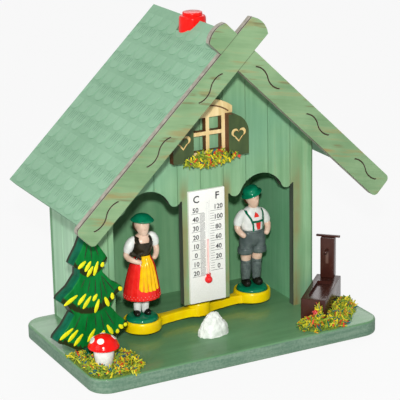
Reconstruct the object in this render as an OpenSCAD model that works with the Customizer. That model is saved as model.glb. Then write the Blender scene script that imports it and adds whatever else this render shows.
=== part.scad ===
// Weather house: a small wooden house in which a twisted gut turns a bar with two figures.
// Millimetres, +Z up, the front looks along -Y. Origin: centre of the base board's underside.

/* [Base board] */
// Width of the base board
base_w = 157.2; // [150:0.2:176]
// Depth of the base board
base_d = 90.8; // [88:0.2:110]
// Thickness of the base board
base_t = 7.5; // [5:0.5:12]
// Radius of the base board's corners
base_corner_r = 10; // [4:1:16]

/* [House walls] */
// Width of the house over its side walls
house_w = 121.8; // [116:0.2:128]
// Depth of the house from the front face to the back face
house_d = 51.8; // [48:0.2:58]
// Thickness of the front wall
front_wall_t = 4; // [3:0.5:5]
// Thickness of the side walls
side_wall_t = 8; // [4:0.5:9]
// Thickness of the back wall
back_wall_t = 3; // [2:0.5:5]
// Distance between the plank grooves
plank_pitch = 12.6; // [9:0.2:16]
// Shift of the groove pattern from the middle of the front
plank_shift = -2.2; // [-6:0.2:6]
// Width of a plank groove
groove_w = 0.9; // [0.4:0.1:1.4]
// Depth of a plank groove
groove_depth = 0.45; // [0.2:0.05:0.8]

/* [Doorways] */
// Width of each doorway
door_w = 37.1; // [34:0.1:39]
// Width of the post between the doorways
post_w = 25.4; // [22:0.2:28]
// Clear height under the post, where the figure bar passes
post_gap = 12; // [11:0.5:15]
// Height of the arch's crown over the base board
door_crown = 73.7; // [70:0.1:80]
// Height of the lowest point of the arch's shoulders
door_shoulder = 64; // [63.5:0.1:68]
// Radius of the arch
arch_r = 12.8; // [11:0.1:14]
// Radius of the rounded noses beside the arch
nose_r = 3.2; // [2:0.1:4]

/* [Roof] */
// Height of the ridge over the base board
ridge_h = 153; // [145:0.5:165]
// Slope of the roof in degrees
roof_pitch = 44; // [42:0.5:46]
// Thickness of the roof panels
roof_t = 4; // [3:0.5:5]
// Distance from the middle of the house to the eaves
eave_reach = 81.2; // [76:0.1:90]
// Overhang of the roof in front of the front wall
roof_overhang = 31.1; // [26:0.1:36]

/* [Bargeboards] */
// Thickness of the bargeboards
barge_t = 4; // [3:0.5:6]
// Width of the bargeboards
barge_w = 12; // [10:0.5:15]
// Length of a bargeboard below the ridge, along the slope
barge_len = 116.4; // [108:0.2:126]
// Length of the horn past the ridge, along the slope
horn_len = 12.4; // [9:0.2:16]
// How much shorter the right board's horn is
horn_step = 2; // [0:0.2:3]
// Radius of the horn's end
horn_r = 10; // [8:0.5:14]
// Radius of the lower corners
barge_corner_r = 2.5; // [1:0.5:4]
// Distance from the ridge to the first carved wave
wave_start = 26.5; // [22:0.5:30]
// Distance between the carved waves
wave_pitch = 37.6; // [32:0.2:40]
// Number of carved waves on a board
wave_count = 3; // [1:1:3]
// Length of one carved wave
wave_len = 17.6; // [12:0.2:22]
// Distance of the left board's carving below its upper edge
wave_drop_left = 6.8; // [5:0.1:7]
// Distance of the right board's carving below its upper edge
wave_drop_right = 5.1; // [4.5:0.1:7]
// Height of a carved wave to each side of its middle line
wave_rise = 1.3; // [0.8:0.1:2]
// Width of the carving
carve_w = 0.7; // [0.6:0.1:1.4]
// Depth of the carving
carve_depth = 0.6; // [0.3:0.1:1]

/* [Window] */
// Half width of the window opening with its stiles
window_half = 9.5; // [8:0.1:10.5]
// Height of the window's sill over the base board
window_sill = 88.5; // [84:0.5:92]
// Height of the window
window_h = 20.5; // [18:0.5:24]
// Thickness of the window frame
window_t = 3.6; // [2:0.2:5]
// Width of the stiles and rails
stile_w = 1.9; // [1.2:0.1:3]
// Height of the transom's middle as a share of the window's height
transom_share = 0.53; // [0.4:0.01:0.6]
// Radius of the lintel's arch
lintel_r = 22; // [18:0.5:30]
// Half width of the lintel
lintel_half = 13.6; // [12:0.2:15]
// Height of the lintel's crown over the shutters
lintel_rise = 8; // [6:0.2:10]

/* [Shutters] */
// Width of a shutter
shutter_w = 11; // [9:0.2:12]
// Height of a shutter
shutter_h = 20.6; // [16:0.2:24]
// Distance of the shutters' lower edge below the sill
shutter_drop = 1.2; // [0.5:0.1:2.5]
// Thickness of a shutter
shutter_t = 3.9; // [2:0.1:5]
// Radius of the outer top corner
shutter_r = 9.8; // [6:0.2:11]
// Size of the heart across its lobes
heart_w = 8; // [5:0.2:9]
// Width of the heart's carved line
heart_line = 1; // [0.6:0.1:1.4]
// Depth of the heart's recess
heart_depth = 0.7; // [0.3:0.1:1.5]

/* [Thermometer] */
// Width of the scale card
card_w = 19.7; // [16:0.1:22]
// Height of the scale card
card_h = 58; // [50:0.5:64]
// Thickness of the scale card
card_t = 1.5; // [1:0.1:2.5]
// Height of the card's lower edge over the base board
card_sill = 12.5; // [12.2:0.1:18]
// Diameter of the glass tube
tube_d = 2.2; // [1.6:0.1:3]
// Diameter of the tube's bore
tube_bore = 1; // [0.6:0.1:1.2]
// Diameter of the bulb
bulb_d = 3.8; // [3:0.1:5]
// Wall of the glass bulb
bulb_wall = 0.4; // [0.3:0.05:0.6]
// Height of the bulb over the card's lower edge
bulb_h = 11.6; // [9:0.1:16]
// Length of the tube over the bulb
tube_len = 41; // [34:0.5:44]
// Length of the liquid column over the bulb
column_len = 21; // [5:0.5:32]
// Clearance round the tube and its liquid
tube_fit = 0.05; // [0.02:0.01:0.1]

/* [Chimney knob] */
// Diameter of the knob at its foot
knob_d = 14; // [11:0.2:14.6]
// Diameter of the knob at its shoulder
knob_top_d = 13; // [10:0.2:14]
// Diameter of the raised disc on the knob
knob_disc_d = 9.6; // [7:0.2:11]
// Height of the raised disc's top over the ridge
knob_rise = 3.2; // [2:0.2:12]
// Height of the raised disc
knob_disc_h = 1.6; // [0.8:0.1:2]
// Chamfer round the knob's shoulder
knob_chamfer = 0.7; // [0.3:0.1:1]
// Diameter of the hole through the ridge
knob_hole_d = 15.6; // [15:0.2:18]
// Gap under the knob on its seat
knob_seat_gap = 0.1; // [0.05:0.05:0.3]
// Diameter of the knob's stem
stem_d = 6; // [4:0.2:8]
// Running fit of the stem in the ridge block, on the radius
stem_fit = 0.05; // [0.02:0.01:0.1]
// Length of stem below the ridge block
stem_tail = 4; // [2:0.5:8]
// Width of the ridge block
block_w = 28; // [22:1:34]
// Length of the ridge block behind the front wall
block_len = 22; // [16:1:30]
// Height of the ridge block's upright sides
block_side_h = 6; // [4:0.5:10]

/* [Figure bar] */
// Distance from the front face to the axis of the gut
axis_setback = 9.8; // [9.5:0.1:12]
// Turn of the bar at rest, in degrees
bar_turn = 8; // [-30:1:30]
// Distance from the axis to each figure
bar_arm = 33.9; // [32:0.1:36]
// Width of the bar
bar_w = 4.6; // [3:0.2:7]
// Height of the bar
bar_h = 4.3; // [3:0.1:5]
// Gap between the bar and the base board
bar_gap = 2.7; // [1.5:0.1:4]
// Diameter of the hub
hub_d = 12; // [9:0.5:14]
// Height of the hub
hub_h = 6.8; // [5:0.1:7.2]
// Diameter of the cups that hold the figures
cup_d = 19.2; // [17:0.1:19.6]
// Height of the cups
cup_h = 5.5; // [4:0.1:6]
// Depth of the recess in a cup
cup_depth = 2; // [1:0.1:3]
// Wall of a cup
cup_wall = 1.4; // [0.6:0.1:1.6]
// Diameter of the gut
gut_d = 1.2; // [0.8:0.1:1.8]
// Running fit of the gut in its holes, on the radius
gut_fit = 0.05; // [0.02:0.01:0.1]
// Length of the gut that is held in the stem
gut_hold = 9; // [5:0.5:12]
// Diameter of the plug that holds the gut in the hub
plug_d = 4; // [3:0.2:5]
// Height of the plug
plug_h = 2.5; // [1.5:0.1:3.5]

/* [Woman] */
// Height over the figure's green foot
woman_h = 51.5; // [49:0.5:53]
// Height of the skirt's hem
woman_hem = 9.3; // [7:0.1:12]
// Height of the waist
woman_waist = 30.3; // [28:0.1:32]
// Height of the shoulders
woman_shoulder = 38.5; // [36:0.1:40]
// Radius of the skirt at its hem
skirt_r = 9; // [7:0.1:9.2]
// Radius of the waist
waist_r = 4; // [3:0.1:5]
// Radius of the head
woman_head_r = 4.2; // [3.4:0.1:4.6]
// Radius of the beret
beret_r = 5.5; // [4.6:0.1:6.5]
// Turn of the woman on her cup, in degrees
woman_turn = -15; // [-25:1:25]
// Lean of the head towards the middle of the house
woman_lean = 1.2; // [0:0.1:2]
// Radius of the legs
woman_leg_r = 1.8; // [1.4:0.1:2.2]
// Distance of a leg from the middle of the figure
woman_stance = 2.1; // [1.6:0.1:2.6]
// Radius of a puffed sleeve
puff_r = 2.9; // [2.2:0.1:3.2]
// Half width of the shoulders
woman_half = 5.2; // [4.6:0.1:5.8]

/* [Man] */
// Height over the figure's green foot
man_h = 52.8; // [50:0.2:53.6]
// Height of the shorts' legs
man_shorts = 17; // [14:0.1:20]
// Height of the belt
man_belt = 29.8; // [27:0.1:32]
// Height of the shoulders
man_shoulder = 39.5; // [37:0.1:41]
// Half width of the shoulders
man_half = 5.4; // [4.6:0.1:6]
// Radius of the head
man_head_r = 3.9; // [3.2:0.1:4.4]
// Radius of the hat's brim
brim_r = 5.2; // [4.4:0.1:6]
// Thickness of the hat's brim
brim_t = 0.9; // [0.6:0.1:1.2]
// Tilt of the hat in degrees
hat_tilt = 14; // [0:1:18]
// Radius of the legs
man_leg_r = 2.1; // [1.6:0.1:2.4]
// Distance of a leg from the middle of the figure
man_stance = 3; // [2.6:0.1:3.2]
// Radius of the shorts' legs
shorts_r = 3.9; // [3.4:0.1:4.1]

/* [Both figures] */
// Thickness of a figure's foot
foot_t = 3.8; // [3:0.1:5]
// Gap round a foot in its cup
foot_gap = 0.2; // [0.1:0.05:0.4]
// Size of the shoes
shoe_r = 1.8; // [1.4:0.1:2]
// Distance of the elbows from the middle of a figure
elbow_reach = 7.6; // [6.8:0.1:8]
// Radius of the forearms
arm_r = 1.5; // [1.2:0.1:1.8]
// Radius of the necks
neck_r = 1.8; // [1.4:0.1:2.2]
// Thickness of the hair
hair_t = 0.3; // [0.2:0.05:0.5]

/* [Garden left] */
// Place of the fir tree from the middle of the house
tree_x = -67.8; // [-70:0.1:-64]
// Height of the fir tree
tree_h = 66; // [58:0.5:70]
// Thickness of the fir tree
tree_t = 8; // [5:0.5:9]
// Gap between the fir tree and the front wall's plane, as a share of the garden's depth
tree_share = 0.154; // [0.05:0.002:0.2]
// Turn of the fir tree in degrees
tree_turn = 6; // [0:1:10]
// Width of the trunk
trunk_w = 6; // [4:0.5:9]
// Height of the lowest boughs
trunk_h = 7.5; // [6.5:0.5:10]
// Half width of the lowest boughs
low_bough = 19.3; // [14:0.1:20]
// Height of the lowest bough tips
low_bough_h = 14.5; // [13:0.5:17]
// Half width of the waist over the lowest boughs
low_waist = 9.8; // [7:0.1:11]
// Height of that waist
low_waist_h = 25; // [22:0.5:28]
// Half width of the middle boughs
mid_bough = 16.7; // [12:0.1:17]
// Height of the middle bough tips
mid_bough_h = 33.5; // [31:0.5:36]
// Half width of the waist over the middle boughs
mid_waist = 6.2; // [5:0.1:8]
// Height of that waist
mid_waist_h = 43; // [40:0.5:45]
// Half width of the upper boughs
high_bough = 9.2; // [7.5:0.1:11]
// Height of the upper bough tips
high_bough_h = 50; // [47:0.5:52]
// Size of the blunt bough tips
bough_r = 1.6; // [0.8:0.1:2.4]
// Distance of the mushroom from the left edge of the base board
mushroom_inset = 10.3; // [9:0.1:16]
// Place of the mushroom between the fir tree and the base's front edge, as a share
mushroom_share = 0.48; // [0.42:0.01:0.54]
// Diameter of the mushroom's cap
cap_d = 15; // [11:0.5:17]
// Height of the mushroom's cap
cap_h = 6.5; // [4:0.5:8]
// Height of the mushroom's stem
stalk_h = 12; // [9:0.5:15]
// Diameter of the stem at its top
stalk_d = 9.4; // [6:0.2:10]
// Width of the left flower bed
left_bed_w = 33; // [24:1:34]
// How far the left flower bed reaches in front of the mushroom's middle
left_bed_front = 14; // [10:0.5:15]
// How far the left flower bed reaches behind the fir tree
left_bed_back = 2; // [1:0.5:4]
// Shift of the left flower bed from the mushroom along the base
left_bed_side = 0.5; // [-1:0.5:4]
// Height of the flower beds
bed_h = 5; // [3:0.5:6]
// Gap between a flower bed and what grows or stands in it
bed_gap = 0.3; // [0.2:0.1:0.6]

/* [Garden right] */
// Place of the trough's far end from the middle of the house
trough_x = 72; // [71.5:0.1:73]
// Distance of the trough's far end behind the plane of the front wall
trough_y = 1.6; // [-0.4:0.1:1.8]
// Turn of the trough in degrees
trough_turn = 46; // [44:0.5:48]
// Length of the trough as a share of the garden's depth
trough_share = 0.962; // [0.84:0.002:0.97]
// Width of the trough
trough_w = 12.6; // [11:0.1:13]
// Height of the trough
trough_h = 12.2; // [9:0.1:16]
// Wall of the trough
trough_wall = 2.6; // [1.6:0.1:3]
// Depth of the trough's basin
basin_depth = 5.5; // [4.5:0.1:8]
// Width of the post on the trough
pillar_w = 7.2; // [5:0.2:10]
// Thickness of the post on the trough
pillar_t = 5; // [3:0.2:7]
// Height of the post over the trough
pillar_h = 21.4; // [16:0.2:28]
// Overhang of the strip on the post
pillar_lip = 2.6; // [1:0.1:3]
// Width of the strip on the post
pillar_cap_w = 1.4; // [1:0.1:3]
// Thickness of the strip on the post
pillar_cap_t = 1.1; // [0.8:0.1:2]
// Diameter of the spout
spout_d = 1.8; // [1:0.1:3]
// Length of the spout
spout_len = 5; // [3:0.5:8]
// Height of the spout over the trough
spout_h = 15; // [6:0.5:17]
// Width of the right flower bed beside the trough
right_bed_w = 14; // [11:0.5:18]
// Length of the right flower bed beside the trough, as a share of the trough's length
right_bed_share = 1.23; // [1:0.01:1.32]
// Shift of that part of the bed along the trough, towards the front
right_bed_shift = 7; // [4:0.5:10]
// Width of the right flower bed before the trough's end
right_front_w = 16; // [12:0.5:18]
// Length of the right flower bed before the trough's end
right_front_l = 15; // [12:0.5:18]

/* [Stone and window flowers] */
// Place of the white stone from the middle of the house
stone_x = -4; // [-5:0.1:4]
// Distance of the stone in front of the front wall
stone_y = -14; // [-18:0.5:-12]
// Width of the stone
stone_w = 16; // [10:0.5:17]
// Height of the stone
stone_h = 12; // [8:0.5:14]
// Width of the flowers under the window
posy_w = 30; // [24:0.5:34]
// Height of the flowers under the window
posy_h = 9.6; // [7:0.2:11]
// Depth of the flowers under the window
posy_t = 5.4; // [4.6:0.2:7]

/* [Hidden] */
$fn = 64;
fine = 18;
over = 1;
front_y = base_d / 2 - house_d;
half_w = house_w / 2;
pitch_rise = tan(roof_pitch);
roof_drop = roof_t / cos(roof_pitch);
under_ridge = ridge_h - roof_drop;
inner_w = house_w - 2 * side_wall_t;
inner_d = house_d - front_wall_t - back_wall_t;
door_mid = (post_w + door_w) / 2;
arch_z = door_crown - arch_r;
nose_z = door_shoulder + nose_r;
nose_x = sqrt(pow(arch_r + nose_r, 2) - pow(nose_z - arch_z, 2));
shoulder_z = arch_z + arch_r * (nose_z - arch_z) / (arch_r + nose_r);
horn_right = horn_len - horn_step;
wave_r = (pow(wave_len / 4, 2) + pow(wave_rise, 2)) / (2 * wave_rise);
seat_z = under_ridge - knob_hole_d / 2 * pitch_rise;
block_side_z = under_ridge - block_w / 2 * pitch_rise;
block_z = block_side_z - block_side_h;
knob_z = seat_z + knob_seat_gap;
knob_top = ridge_h + knob_rise;
stem_z = block_z - stem_tail;
hub_top = bar_gap + hub_h;
foot_z = bar_gap + cup_h - cup_depth;
foot_r = cup_d / 2 - cup_wall - foot_gap;
bulb_z = card_sill + bulb_h;
tube_y = -card_t - tube_d / 4;
garden_d = base_d - house_d;
tree_gap = tree_share * garden_d;
tree_front = -tree_gap - tree_t;
mushroom_x = mushroom_inset - base_w / 2;
mushroom_y = tree_front - mushroom_share * (garden_d + tree_front);
left_bed_d = left_bed_back + left_bed_front - tree_gap - mushroom_y;
left_bed_y = (left_bed_back - tree_gap + mushroom_y - left_bed_front) / 2;
trough_l = trough_share * garden_d;
right_bed_l = right_bed_share * trough_l;
window_top = window_sill + window_h;
transom_h = window_sill + transom_share * window_h;
shutter_sill = window_sill - shutter_drop;
shutter_top = shutter_sill + shutter_h;
ears_half = window_half + shutter_w;

// The house's own frame: the middle of the front face, on the base board
module on_base() { translate([0, front_y, base_t]) children(); }

// An outline drawn in width and height, given depth from the plane y = from towards the back
module upright(from, depth) {
    translate([0, from + depth, 0]) rotate([90, 0, 0]) linear_extrude(depth) children();
}

module on_axis() { on_base() translate([0, axis_setback, 0]) children(); }

module rounded_rectangle(w, d, r) {
    square([w - 2 * r, d], center = true);
    square([w, d - 2 * r], center = true);
    for (x = [-1, 1], y = [-1, 1]) translate([x * (w / 2 - r), y * (d / 2 - r)]) circle(r);
}

module base_board() {
    color("seagreen") linear_extrude(base_t) rounded_rectangle(base_w, base_d, base_corner_r);
}

// House outline under the roof, with its peak under the ridge
module gable(half) {
    eave = under_ridge - half * pitch_rise;
    polygon([[-half, 0], [half, 0], [half, eave], [0, under_ridge], [-half, eave]]);
}

// Doorway with a round arch that runs in an S into two rounded noses
module doorway() {
    difference() {
        translate([-door_w / 2, -over]) square([door_w, shoulder_z + over]);
        for (side = [-1, 1]) translate([side * nose_x, nose_z]) circle(nose_r);
    }
    translate([0, arch_z]) circle(arch_r);
}

// Upright V grooves between planks, drawn on the plane y = 0
module plank_grooves(from, to, height) {
    first = ceil((from - plank_shift) / plank_pitch);
    last = floor((to - plank_shift) / plank_pitch);
    for (i = [first:last])
        translate([plank_shift + i * plank_pitch, 0, -over])
            linear_extrude(height + 2 * over)
                polygon([[-groove_w / 2, -over], [groove_w / 2, -over], [groove_w / 2, 0],
                         [0, groove_depth], [-groove_w / 2, 0]]);
}

// Bore for the knob, from a height up through the ridge
module knob_hole(from) { translate([0, axis_setback, from]) cylinder(h = ridge_h, d = knob_hole_d); }

module front_wall() {
    color("mediumseagreen") on_base() difference() {
        upright(0, front_wall_t) difference() {
            gable(half_w);
            for (side = [-1, 1]) translate([side * door_mid, 0]) doorway();
            translate([-post_w / 2 - over, -over]) square([post_w + 2 * over, post_gap + over]);
        }
        plank_grooves(-half_w + groove_w, half_w - groove_w, ridge_h);
        knob_hole(seat_z);
    }
}

module back_wall() {
    color("seagreen") on_base() upright(house_d - back_wall_t, back_wall_t) gable(half_w);
}

module side_wall() {
    outer = under_ridge - half_w * pitch_rise;
    inner = under_ridge - inner_w / 2 * pitch_rise;
    difference() {
        upright(front_wall_t, inner_d)
            polygon([[inner_w / 2, 0], [half_w, 0], [half_w, outer], [inner_w / 2, inner]]);
        translate([half_w, house_d / 2, 0]) rotate([0, 0, 90])
            plank_grooves(groove_w - inner_d / 2, inner_d / 2 - groove_w, outer);
    }
}

module left_wall() { color("mediumseagreen") on_base() mirror([1, 0, 0]) side_wall(); }

module right_wall() { color("mediumseagreen") on_base() side_wall(); }

// One slope of the roof, mitred to the other at the ridge
module roof_panel() {
    edge = roof_t * sin(roof_pitch);
    eave = ridge_h - eave_reach * pitch_rise;
    difference() {
        upright(-roof_overhang, roof_overhang + house_d)
            polygon([[0, under_ridge], [0, ridge_h], [eave_reach, eave],
                     [eave_reach - edge, eave - roof_t * cos(roof_pitch)]]);
        knob_hole(block_z);
    }
}

module left_roof_panel() { color("darkseagreen") on_base() mirror([1, 0, 0]) roof_panel(); }

module right_roof_panel() { color("darkseagreen") on_base() roof_panel(); }

// Right board seen from the front: along its own length from the ridge, under the roof's plane
module barge_frame() { translate([0, ridge_h]) rotate(-roof_pitch) children(); }

module barge_outline(horn) {
    tail = barge_len - barge_corner_r;
    barge_frame() {
        intersection() {
            translate([-horn, -barge_w]) square([horn + tail, barge_w]);
            union() {
                translate([horn_r - horn, -barge_w / 2]) circle(horn_r);
                translate([horn_r - horn, -barge_w]) square([barge_len + horn, barge_w]);
            }
        }
        translate([tail - over, barge_corner_r - barge_w])
            square([barge_corner_r + over, barge_w - 2 * barge_corner_r]);
        for (v = [barge_corner_r, barge_w - barge_corner_r])
            translate([tail, -v]) circle(barge_corner_r);
    }
}

// One half of a carved wave: an arc over a quarter of its length to each side
module wave_arc() {
    translate([0, wave_rise - wave_r]) intersection() {
        difference() {
            circle(wave_r + carve_w / 2);
            circle(wave_r - carve_w / 2);
        }
        translate([-wave_len / 4, 0]) square([wave_len / 2, 2 * wave_r]);
    }
}

module carved_waves(drop) {
    barge_frame() for (i = [0:wave_count - 1])
        translate([wave_start + i * wave_pitch, -drop]) {
            translate([-wave_len / 4, 0]) wave_arc();
            translate([wave_len / 4, 0]) mirror([0, 1]) wave_arc();
        }
}

// A board with the other board's half of the crossing cut away
module bargeboard(horn, other_horn, lap_from, wave_drop) {
    barge_y = -roof_overhang - barge_t;
    difference() {
        upright(barge_y, barge_t) barge_outline(horn);
        upright(barge_y + lap_from, barge_t / 2) mirror([1, 0]) barge_outline(other_horn);
        upright(barge_y, carve_depth) carved_waves(wave_drop);
    }
}

module left_bargeboard() {
    color("darkkhaki") on_base() mirror([1, 0, 0])
        bargeboard(horn_len, horn_right, barge_t / 2, wave_drop_left);
}

module right_bargeboard() {
    color("darkkhaki") on_base() bargeboard(horn_right, horn_len, 0, wave_drop_right);
}

// Block glued under the ridge: the knob turns on its spot face and in its bore
module ridge_block() {
    color("burlywood") on_base() difference() {
        upright(front_wall_t, block_len)
            polygon([[0, under_ridge], [block_w / 2, block_side_z], [block_w / 2, block_z],
                     [-block_w / 2, block_z], [-block_w / 2, block_side_z]]);
        knob_hole(seat_z);
        translate([0, axis_setback, block_z - over])
            cylinder(h = ridge_h, r = stem_d / 2 + stem_fit);
    }
}

module window_outline() {
    translate([-window_half, window_sill]) square([2 * window_half, window_top - window_sill]);
    translate([-ears_half + shutter_r, shutter_sill]) square([2 * (ears_half - shutter_r), shutter_h]);
}

// Four panes between stiles, with ears at the sides that carry the shutters
module window_frame() {
    pane_w = window_half - 1.5 * stile_w;
    color("tan") on_base() upright(-window_t, window_t) difference() {
        window_outline();
        for (side = [-1, 1]) {
            pane_x = side > 0 ? stile_w / 2 : -stile_w / 2 - pane_w;
            translate([pane_x, window_sill + stile_w])
                square([pane_w, transom_h - window_sill - 1.5 * stile_w]);
            translate([pane_x, transom_h + stile_w / 2])
                square([pane_w, window_top - transom_h - 1.5 * stile_w]);
        }
    }
}

// Arched lintel on top of the frame, level with its face
module window_lintel() {
    color("burlywood") on_base() upright(-window_t, window_t) difference() {
        intersection() {
            translate([0, shutter_top + lintel_rise - lintel_r]) circle(lintel_r);
            translate([-lintel_half, shutter_top]) square([2 * lintel_half, 2 * lintel_rise]);
        }
        window_outline();
    }
}

module heart(w) {
    lobe = w / 4;
    for (side = [-1, 1]) translate([side * lobe, lobe / 2]) circle(lobe);
    polygon([[-w / 2, lobe / 2], [w / 2, lobe / 2], [0, -2 * lobe]]);
}

module right_shutter_shape() {
    lower = shutter_h - shutter_r;
    upright(0, shutter_t) {
        square([shutter_w, lower]);
        square([shutter_w - shutter_r, shutter_h]);
        intersection() {
            translate([shutter_w - shutter_r, lower]) circle(shutter_r);
            translate([0, lower - over]) square([shutter_w, shutter_h]);
        }
    }
}

module shutter() {
    translate([window_half, -window_t - shutter_t, shutter_sill]) difference() {
        right_shutter_shape();
        translate([shutter_w / 2, 0, shutter_h / 2]) upright(-over, heart_depth + over) difference() {
            heart(heart_w);
            translate([0, -heart_line / 5]) heart(heart_w - 2.6 * heart_line);
        }
    }
}

module left_shutter() { color("darkslategray") on_base() mirror([1, 0, 0]) shutter(); }

module right_shutter() { color("darkslategray") on_base() shutter(); }

// A mound of shavings: rings that rise from a rippled rim to the middle
function mound_rim(a) = 1 + 0.05 * sin(5 * a) + 0.04 * sin(8 * a + 40);
function mound_height(a, k) = sin(90 * k) * (1 + 0.13 * sin(6 * a + 200 * k));
module mound(w, d, h) {
    sides = 30;
    rings = 5;
    points = [
        for (k = [0:rings - 1], i = [0:sides - 1])
            let (a = i * 360 / sides, out = cos(90 * k / rings) * mound_rim(a))
                [w / 2 * out * cos(a), d / 2 * out * sin(a), h * mound_height(a, k / rings)]
    ];
    top = len(points);
    polyhedron(
        concat(points, [[0, 0, h]]),
        concat(
            [[for (i = [0:sides - 1]) i]],
            [for (k = [0:rings - 2], i = [0:sides - 1])
                [k * sides + i, (k + 1) * sides + i, (k + 1) * sides + (i + 1) % sides]],
            [for (k = [0:rings - 2], i = [0:sides - 1])
                [k * sides + i, (k + 1) * sides + (i + 1) % sides, k * sides + (i + 1) % sides]],
            [for (i = [0:sides - 1])
                [(rings - 1) * sides + i, top, (rings - 1) * sides + (i + 1) % sides]]
        )
    );
}

// Flowers in front of the window frame, cut to stand against the shutters
module window_flowers() {
    shutters = [ears_half, shutter_t + bed_gap, shutter_h];
    color("yellowgreen") on_base() difference() {
        translate([0, -window_t, shutter_sill]) rotate([90, 0, 0]) mound(posy_w, posy_h, posy_t);
        for (side = [0, 1]) mirror([side, 0, 0])
            translate([window_half - bed_gap, -window_t - shutter_t - bed_gap, shutter_sill - bed_gap])
                cube(shutters + [0, over, 0]);
    }
}

// White card with a groove for the tube and a hole for the bulb
module thermometer_card() {
    groove_r = tube_d / 2 + tube_fit;
    color("white") on_base() difference() {
        upright(-card_t, card_t)
            translate([-card_w / 2, card_sill]) square([card_w, card_h]);
        translate([0, tube_y, bulb_z]) cylinder(h = tube_len + tube_fit, r = groove_r);
        translate([0, over, bulb_z]) rotate([90, 0, 0])
            cylinder(h = card_t + 2 * over, r = bulb_d / 2 + tube_fit);
    }
}

module thermometer_tube() {
    cavity = bulb_d / 2 - bulb_wall;
    color("lightcyan", 0.5) on_base() translate([0, tube_y, bulb_z]) difference() {
        union() {
            sphere(d = bulb_d);
            cylinder(h = tube_len, d = tube_d);
        }
        sphere(r = cavity);
        cylinder(h = tube_len - tube_d / 2, d = tube_bore);
    }
}

module thermometer_liquid() {
    cavity = bulb_d / 2 - bulb_wall;
    color("crimson") on_base() translate([0, tube_y, bulb_z]) {
        sphere(r = cavity - tube_fit);
        cylinder(h = column_len, r = tube_bore / 2 - tube_fit);
    }
}

// Underside, point and upper side of a blunt bough tip
function blunt(tip) = [tip + [-2, -1.6] * bough_r, tip - [0, bough_r / 2], tip + [-0.4, 0.6] * bough_r];
module fir_outline() {
    right = concat([[trunk_w / 2, 0], [trunk_w / 2, trunk_h], [low_bough / 2, trunk_h]],
                   blunt([low_bough, low_bough_h]), [[low_waist, low_waist_h]],
                   blunt([mid_bough, mid_bough_h]), [[mid_waist, mid_waist_h]],
                   blunt([high_bough, high_bough_h]));
    left = [for (i = [len(right) - 1:-1:0]) [-right[i].x, right[i].y]];
    polygon(concat(right, [[0, tree_h]], left));
}

module at_tree() { translate([tree_x, tree_front, 0]) rotate([0, 0, tree_turn]) children(); }

module fir_tree() { color("green") on_base() at_tree() upright(0, tree_t) fir_outline(); }

module mushroom_stem() {
    foot = stalk_d * 0.3;
    color("whitesmoke") on_base() translate([mushroom_x, mushroom_y, 0]) rotate_extrude()
        polygon([[0, 0], [foot, 0], [stalk_d / 2, stalk_h * 0.7], [stalk_d / 2, stalk_h], [0, stalk_h]]);
}

// Domed cap with a rounded rim
module mushroom_cap() {
    dome_r = (pow(cap_d / 2, 2) + pow(cap_h, 2)) / (2 * cap_h);
    color("red") on_base() translate([mushroom_x, mushroom_y, stalk_h]) rotate_extrude()
        intersection() {
            translate([0, cap_h - dome_r]) circle(dome_r);
            square([cap_d, cap_h]);
        }
}

// What lies over the base board, so that nothing in the garden hangs past its edge
module over_base() { linear_extrude(ridge_h) rounded_rectangle(base_w, base_d, base_corner_r); }

module left_flower_bed() {
    foot = stalk_d / 2 + bed_gap;
    color("yellowgreen") intersection() {
        over_base();
        on_base() bed_with_holes(foot);
    }
}

module bed_with_holes(foot) {
    difference() {
        translate([mushroom_x + left_bed_side, left_bed_y, 0]) mound(left_bed_w, left_bed_d, bed_h);
        translate([mushroom_x, mushroom_y, -over]) cylinder(h = stalk_h, r = foot);
        at_tree() translate([-trunk_w / 2 - bed_gap, -bed_gap, -over])
            cube([trunk_w + 2 * bed_gap, tree_t + 2 * bed_gap, trunk_h + over]);
    }
}

// Pebble with a flat underside, broader on its left
module white_stone() {
    color("white") on_base() translate([stone_x, stone_y, 0]) hull() {
        translate([-stone_w * 0.12, 0, stone_h * 0.62]) sphere(stone_h * 0.38, $fn = fine);
        translate([stone_w * 0.22, 0, stone_h * 0.4]) sphere(stone_h * 0.3, $fn = fine);
        translate([-stone_w * 0.2, 0, 0]) cylinder(h = stone_h * 0.5, d = stone_w * 0.6, $fn = fine);
        translate([stone_w * 0.25, 0, 0]) cylinder(h = stone_h * 0.3, d = stone_w * 0.5, $fn = fine);
    }
}

// The trough's own frame: its length runs along X, the post stands at its far end
module on_trough() {
    on_base() translate([trough_x, trough_y, 0]) rotate([0, 0, trough_turn]) translate([-trough_l / 2, 0, 0])
        children();
}

module trough() {
    basin_w = trough_w - 2 * trough_wall;
    front = trough_wall + basin_w / 2 - trough_l / 2;
    back = trough_l / 2 - pillar_t - 2 * trough_wall;
    color("saddlebrown") on_trough() difference() {
        translate([-trough_l / 2, -trough_w / 2, 0]) cube([trough_l, trough_w, trough_h]);
        translate([0, 0, trough_h - basin_depth]) {
            translate([front, 0, 0]) cylinder(h = basin_depth + over, d = basin_w);
            translate([front, -basin_w / 2, 0]) cube([back - front, basin_w, basin_depth + over]);
        }
    }
}

module trough_post() {
    color("saddlebrown") on_trough()
        translate([trough_l / 2 - pillar_t, -pillar_w / 2, trough_h]) cube([pillar_t, pillar_w, pillar_h]);
}

module post_cap() {
    size = [pillar_cap_w, pillar_w + 2 * pillar_lip, pillar_cap_t];
    color("sienna") on_trough()
        translate([trough_l / 2 - (pillar_t + size.x) / 2, -size.y / 2, trough_h + pillar_h]) cube(size);
}

module trough_spout() {
    color("sienna") on_trough()
        translate([trough_l / 2 - pillar_t, 0, trough_h + spout_h]) rotate([0, -90, 0])
            cylinder(h = spout_len, d = spout_d);
}

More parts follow.
